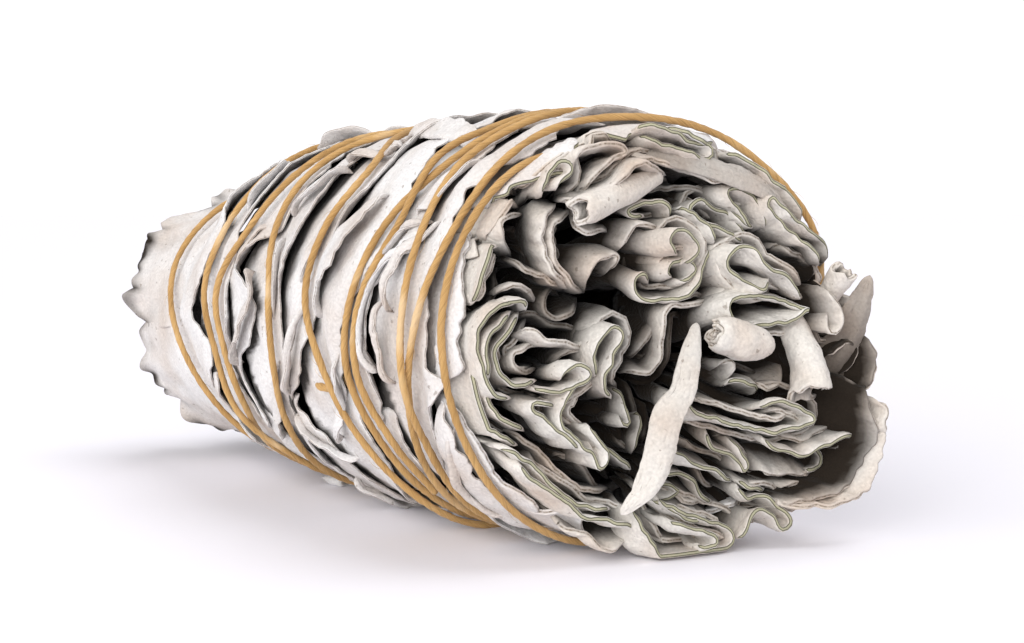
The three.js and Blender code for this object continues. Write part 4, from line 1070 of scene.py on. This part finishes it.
# Where margins wander from their row on the side toward the camera: angle and how far along the stick
WANDERING = {
    -10.5: [(136, 0), (148, 2.5), (160, 1), (170, -0.2), (178, -3.7), (186, 0.3), (193, 1.5), (214, 0)],
    -2.5: [(150, 0), (166, -1.2), (180, 1.4), (196, -1), (215, 0)],
    4.5: [(150, 0), (165, -4.4), (171, -0.4), (176, 1), (188, -1), (192, -3.3), (198, -4.4), (215, 0)],
    11: [(145, 0), (159, -0.8), (174, -0.8), (192, 1.4), (203, -1), (220, 0)],
    17.5: [(160, 0), (181, -0.4), (187, -1.4), (198, -3.3), (206, -5.9), (216, -2), (228, 0)],
    24: [(120, 0), (134, 0.7), (142, 2.1), (149, 2.7), (154, 1.6), (163, 0.7), (182, -1), (205, 0)],
    30: [(140, 0), (154, 2.2), (160, 0), (169, -3.5), (179, -2.9), (193, -0.6), (205, 0)],
    36.5: [(170, 0), (185, 1.5), (189, 2.3), (191, 3.6), (204, 0)],
}
TUCKED = 9              # degrees that each leaf reaches under the one before it
WRAP_ROWS = 13
WRAP_COLUMNS = 130


def wrapping_leaf(bm, row, start, sweep, phase):
    """A leaf of one row, from an angle on. Its wavy margin shows, and its root lies under the row before."""
    tint = 0.16 * drift(phase * 5, row)
    before = ROWS[ROWS.index(row) - 1] if row > ROWS[0] else None

    def place(j, i):
        t = 1 - (j / WRAP_ROWS) ** 1.4
        s = i / WRAP_COLUMNS
        angle = start - TUCKED + (sweep + TUCKED) * s
        margin = margin_at(row, angle) + along(WANDERING[row], angle % 360)
        arc = radians(angle) * ARC
        pointed = 4.5 * clamp((s - 0.82) / 0.18) ** 2
        wave = 0.5 * sin(phase + 9 * s) + 1.5 * drift(arc * 0.16, row, phase)
        notch = 0.45 * drift(arc * 1.4, row, phase) + 0.7 * drift(arc * 0.5, row, phase + 3)
        near = clamp((t - 0.6) / 0.4)

        # Place along the stick, then depth: pressed in by the string, swollen and curled between its turns
        x = margin - LEAF_WIDTH * (1 - t) + (wave - pointed) * t + notch * near
        dip = SHINGLE * clamp((margin + 0.8 - x) / LEAF_WIDTH, 0, 1.1)
        lift = 1.1 * near**3 * clamp(0.1 + 1.3 * drift(arc * 0.13, row * 3, phase))
        crumple = 0.5 * drift(arc * 0.2, x * 0.3, phase)
        crumple += 0.2 * drift(arc * 0.14, x * 1.3, phase)
        crumple += 0.12 * drift(arc * 0.8, x * 0.8, phase)
        out = swelling(x, angle)
        depth = LEAF / 2 + dip - out - (lift + crumple) * (out - PRESSED) / SWOLLEN
        depth += 0.6 * clamp(1 - s * (sweep + TUCKED) / TUCKED)
        point = on_bunch(x, angle, depth, UNDERSIDE)

        # A painted shadow darkens it where it comes out from under the row before
        shadow_fade = 0.7 + 2.6 * clamp(drift(arc * 0.2, row, 11))
        shadow = 0.0
        if before is not None:
            over = margin_at(before, angle) + along(WANDERING[before], angle % 360)
            shadow = 0.95 * clamp(1 - (x - over - 0.4) / shadow_fade)
        return point, (1.0, shadow, tint)

    leaf(bm, WRAP_ROWS, WRAP_COLUMNS, place, margin_share=0.45)


for row in ROWS:
    start = ROW_START + draw(-14, 14)
    for i in range(LEAVES_IN_ROW):
        number += 1
        bm = leaf_mesh()
        wrapping_leaf(bm, row, start + i * 360 / LEAVES_IN_ROW, 360 / LEAVES_IN_ROW + 1, draw(0, 6))
        finish_piece(bm, f"wrapping_leaf_{number:02d}", outer_sage, [f"outer_leaf_{number:02d}"])


# Small leaves and torn strips of leaf, caught under the string on top of the outer leaves. Each has one
# margin tucked in and the other standing up or rolled over. Those toward the camera follow the photograph.
def laid_leaf(bm, spine, width, lift, index, roll, tint):
    """A leaf laid along places on the bunch, each a place along the stick and an angle."""
    line = smooth_line([(x, radians(angle) * ARC, 0) for x, angle in spine], 0.34)
    last = len(line) - 1
    rows = max(8, round(width / 0.32))
    leaf_tint = tint + 0.25 * drift(index * 3.3)

    def place(j, i):
        v = 1 - j / rows
        p = line[i]
        u = i / last
        ahead = (line[min(i + 1, last)] - line[max(i - 1, 0)]).normalized()
        aside = Vector((abs(ahead.y), -ahead.x * (1 if ahead.y > 0 else -1), 0))
        full = width * max(0.04, sin(pi * u)) ** 0.7
        full *= 1 + 0.25 * drift(i * 0.17, index)
        notch = 0.25 * drift(i * 0.6, index, 1) + 0.4 * drift(i * 0.25, index, 5)
        spot = p + aside * (full * (v - 0.5) + notch * v * min(full, 1) * (1 - roll))
        angle = degrees(spot.y / ARC)
        out = swelling(spot.x, angle)
        stand = lift * v**2 + roll * 1.1 * sin(min(v * 4.2, pi))
        stand += 0.4 * drift(i * 0.14, v * 1.5, index * 3)
        depth = 0.45 * (1 - v) - 0.22 - out - stand * (out + 0.1) / 0.9 + 0.9 * (1 - sin(pi * u)) ** 4
        point = on_bunch(spot.x - roll * 0.5 * v**3 * full, angle, depth, UNDERSIDE)
        return point, (1.0, 0.0, leaf_tint)

    leaf(bm, rows, last, place, thickness=0.42, margin_share=0.6)


# Places along the stick and angles, width, how far the margin lifts, how much it rolls over, and tint
LAID_LEAVES = [
    ([(19.5, 178), (19.1, 168), (21, 158), (23.6, 149), (25.4, 142)], 4.2, 0.8, 0, -0.1),
    ([(33.5, 158), (29.6, 164), (27.2, 173), (27.6, 182), (29.5, 191)], 1.8, 0.4, 0.9, -0.2),
    ([(34, 149), (30.2, 156), (27, 164), (26, 170)], 1.9, 0.5, 0.8, 0.25),
    ([(36.2, 150), (33.5, 157), (31.8, 166), (31.6, 175)], 1.6, 0.6, 0.6, 0.35),
    ([(30.8, 172), (30.4, 180), (31.2, 187), (31.6, 194)], 1.5, 0.5, 0.4, 0.2),
    ([(13.4, 130), (11.4, 135), (9.6, 139), (7.8, 147)], 2.6, 0.7, 0, 0),
    ([(19, 120), (15.5, 124), (12, 127)], 2.2, 0.5, 0.7, 0.3),
    ([(13, 109), (18, 111), (24, 115), (30, 119), (34, 124)], 3.2, 0.2, 0.0, 0.15),
    ([(31.4, 148), (32.9, 142), (33.6, 135), (35.4, 128)], 3.4, 0.6, 0, -0.1),
    ([(3.4, 150), (1.2, 157), (-0.2, 166)], 2.6, 0.3, 0, 0.7),
    ([(7.6, 154), (9, 164), (9, 172), (8.4, 180)], 1.3, 0.5, 0.3, 0),
    ([(15.6, 174), (14.9, 184), (13, 194), (10.4, 202)], 1.3, 0.6, 0.7, 0.3),
    ([(8.4, 192), (6.8, 203), (4.4, 213), (2.1, 222)], 1.5, 0.5, 0.2, 0),
    ([(22.2, 187), (21.6, 196), (20.2, 204), (16.8, 216)], 1.6, 0.6, 0.3, 0),
    ([(13.9, 168), (15, 160), (15.8, 152), (16, 145)], 1.5, 0.5, 0.2, 0.2),
    ([(3.2, 165), (5.2, 173), (3.4, 181), (0.6, 190), (-0.8, 196)], 1.9, 0.8, 0.1, 0.5),
    ([(9.5, 209), (12.5, 217), (17.7, 223)], 1.2, 0.5, 0, 0),
    ([(-9, 118), (-6, 124), (-5, 133), (-6.4, 142)], 3.6, 0.7, 0, -0.1),
    ([(38.6, 197), (37.8, 209), (37.2, 222), (38.4, 238), (40, 250)], 5.2, 0.3, 0.0, 0.25),
    ([(39.2, 204), (38, 214), (37.2, 225), (38, 236)], 1.2, 0.5, 0.8, 0.6),
    ([(1.4, 96), (-3, 101), (-8.4, 104)], 3.4, 0.9, 0.2, 0),
]
bm = leaf_mesh()
for index, (spine, width, lift, roll, tint) in enumerate(LAID_LEAVES):
    laid_leaf(bm, spine, width, lift, index * 1.7, roll, tint)
finish_piece(bm, "torn_leaves_front", outer_sage, [])

# The same on the sides that the photograph doesn't show, placed by seeded draws
TORN_LEAVES = 26
HIDDEN_FROM = 250
HIDDEN_SWEEP = 195
bm = leaf_mesh()
for index in range(TORN_LEAVES):
    angle = HIDDEN_FROM + index * HIDDEN_SWEEP / TORN_LEAVES + draw(-4, 4)
    x = draw(-16, 36)
    length = draw(9, 17)
    lean = draw(-0.35, 0.35)
    spine = []
    for step in (-1.5, -0.5, 0.5, 1.5):
        bow = draw(-0.8, 0.8)
        spine.append((x + length / 3 * step * lean + bow, angle + degrees(length / 3 * step / ARC)))
    laid_leaf(bm, spine, draw(1.3, 4), draw(0.3, 0.8), index * 2.3, draw(0, 0.8), draw(-0.2, 0.5))
finish_piece(bm, "torn_leaves_back", outer_sage, [])

# Rim leaves: the last leaves of the wrapping, whose edges make the outline of the cut end. They lie under the
# string, and flare out past its first turn.
RIM_ROWS = 14
RIM_COLUMNS = 60
RIM_FROM = 34.2         # where they start, under the last row of outer leaves

# Angles, how far back from the face, and whether the margin is uncut
RIM_LEAVES = [
    (24, 66, 3.4, 1), (338, 386, 4.5, 1), (258, 336, 3.5, 1), (232, 262, 2.0, 1), (196, 238, 2.4, 1),
    (150, 192, 1.8, 1), (112, 142, 0.6, 0), (72, 108, 0.6, 0),
]


def rim_leaf(bm, start, end, back, natural, phase):
    """A leaf of the rim between two angles, whose edge lies back from the face. One skin is darkened with
    painted shade away from the edge.
    """
    def place(j, i):
        t = 1 - j / RIM_ROWS
        s = i / RIM_COLUMNS
        angle = mix(start, end, s)
        arc = radians(angle) * ARC
        rim = FACE_X + FACE_SLOPE * ARC * cos(radians(angle)) - back + 0.6 * sin(phase + 8 * s)
        rim += 1.8 * drift(arc * 0.22, phase) + 0.5 * drift(arc, phase)
        rim -= 3 * (1 - clamp(min(s, 1 - s) / 0.14)) ** 2
        x = mix(RIM_FROM, rim, t)
        under = room_under(x, angle % 360)
        out = 0.9 + 0.5 * sin(phase + 11 * s) + 1.3 * drift(arc * 0.22, x * 0.3, phase)
        out += 0.35 * drift(arc * 0.8, x * 0.7, phase)
        raised = clamp((x - margin_at(ROWS[-1], angle) - 0.4) / 2.4)
        depth = mix(mix(under, LEAF / 2 + 0.1, raised), out, clamp((x - first_turn_at(angle) - 0.8) / 4))
        return on_bunch(x, angle, depth, UNDERSIDE - 0.1), (natural, 0.0, 0.0)

    leaf(bm, RIM_ROWS, RIM_COLUMNS, place, hollow_shade=0.85)


bm = leaf_mesh()
for number, (start, end, back, natural) in enumerate(RIM_LEAVES):
    rim_leaf(bm, start, end, back, natural, number * 1.7)
finish_piece(bm, "rim_leaves", outer_sage, ["rolled_leaves"])

# The heel leaf: a folded leaf tip pressed flat under the bunch, which its narrower half rests on. Its two
# ends are bent up a little.
HEEL_THICKNESS = 0.98
HEEL_HEIGHT = 0.5       # of its middle over the table
HEEL_X = -5.1
HEEL_LENGTH = 10        # across the stick
HEEL_WIDTH = 3.6
HEEL_ROWS = 8
HEEL_COLUMNS = 40


def heel_place(j, i):
    s = i / HEEL_COLUMNS
    t = 1 - j / HEEL_ROWS
    y = HEEL_LENGTH * (s - 0.5) + 0.3 * drift(t * 3)
    curl = 2 * max(0, abs(2 * s - 1) - 0.75) ** 2
    x = HEEL_X + HEEL_WIDTH * (t - 0.5) + 0.3 * drift(s * 9, 1)
    return Vector((x, y, HEEL_HEIGHT + curl)), (1.0, 0.0, 0.0)


bm = leaf_mesh()
leaf(bm, HEEL_ROWS, HEEL_COLUMNS, heel_place, thickness=HEEL_THICKNESS)
finish_piece(bm, "heel_leaf", outer_sage, ["heel_leaf"])
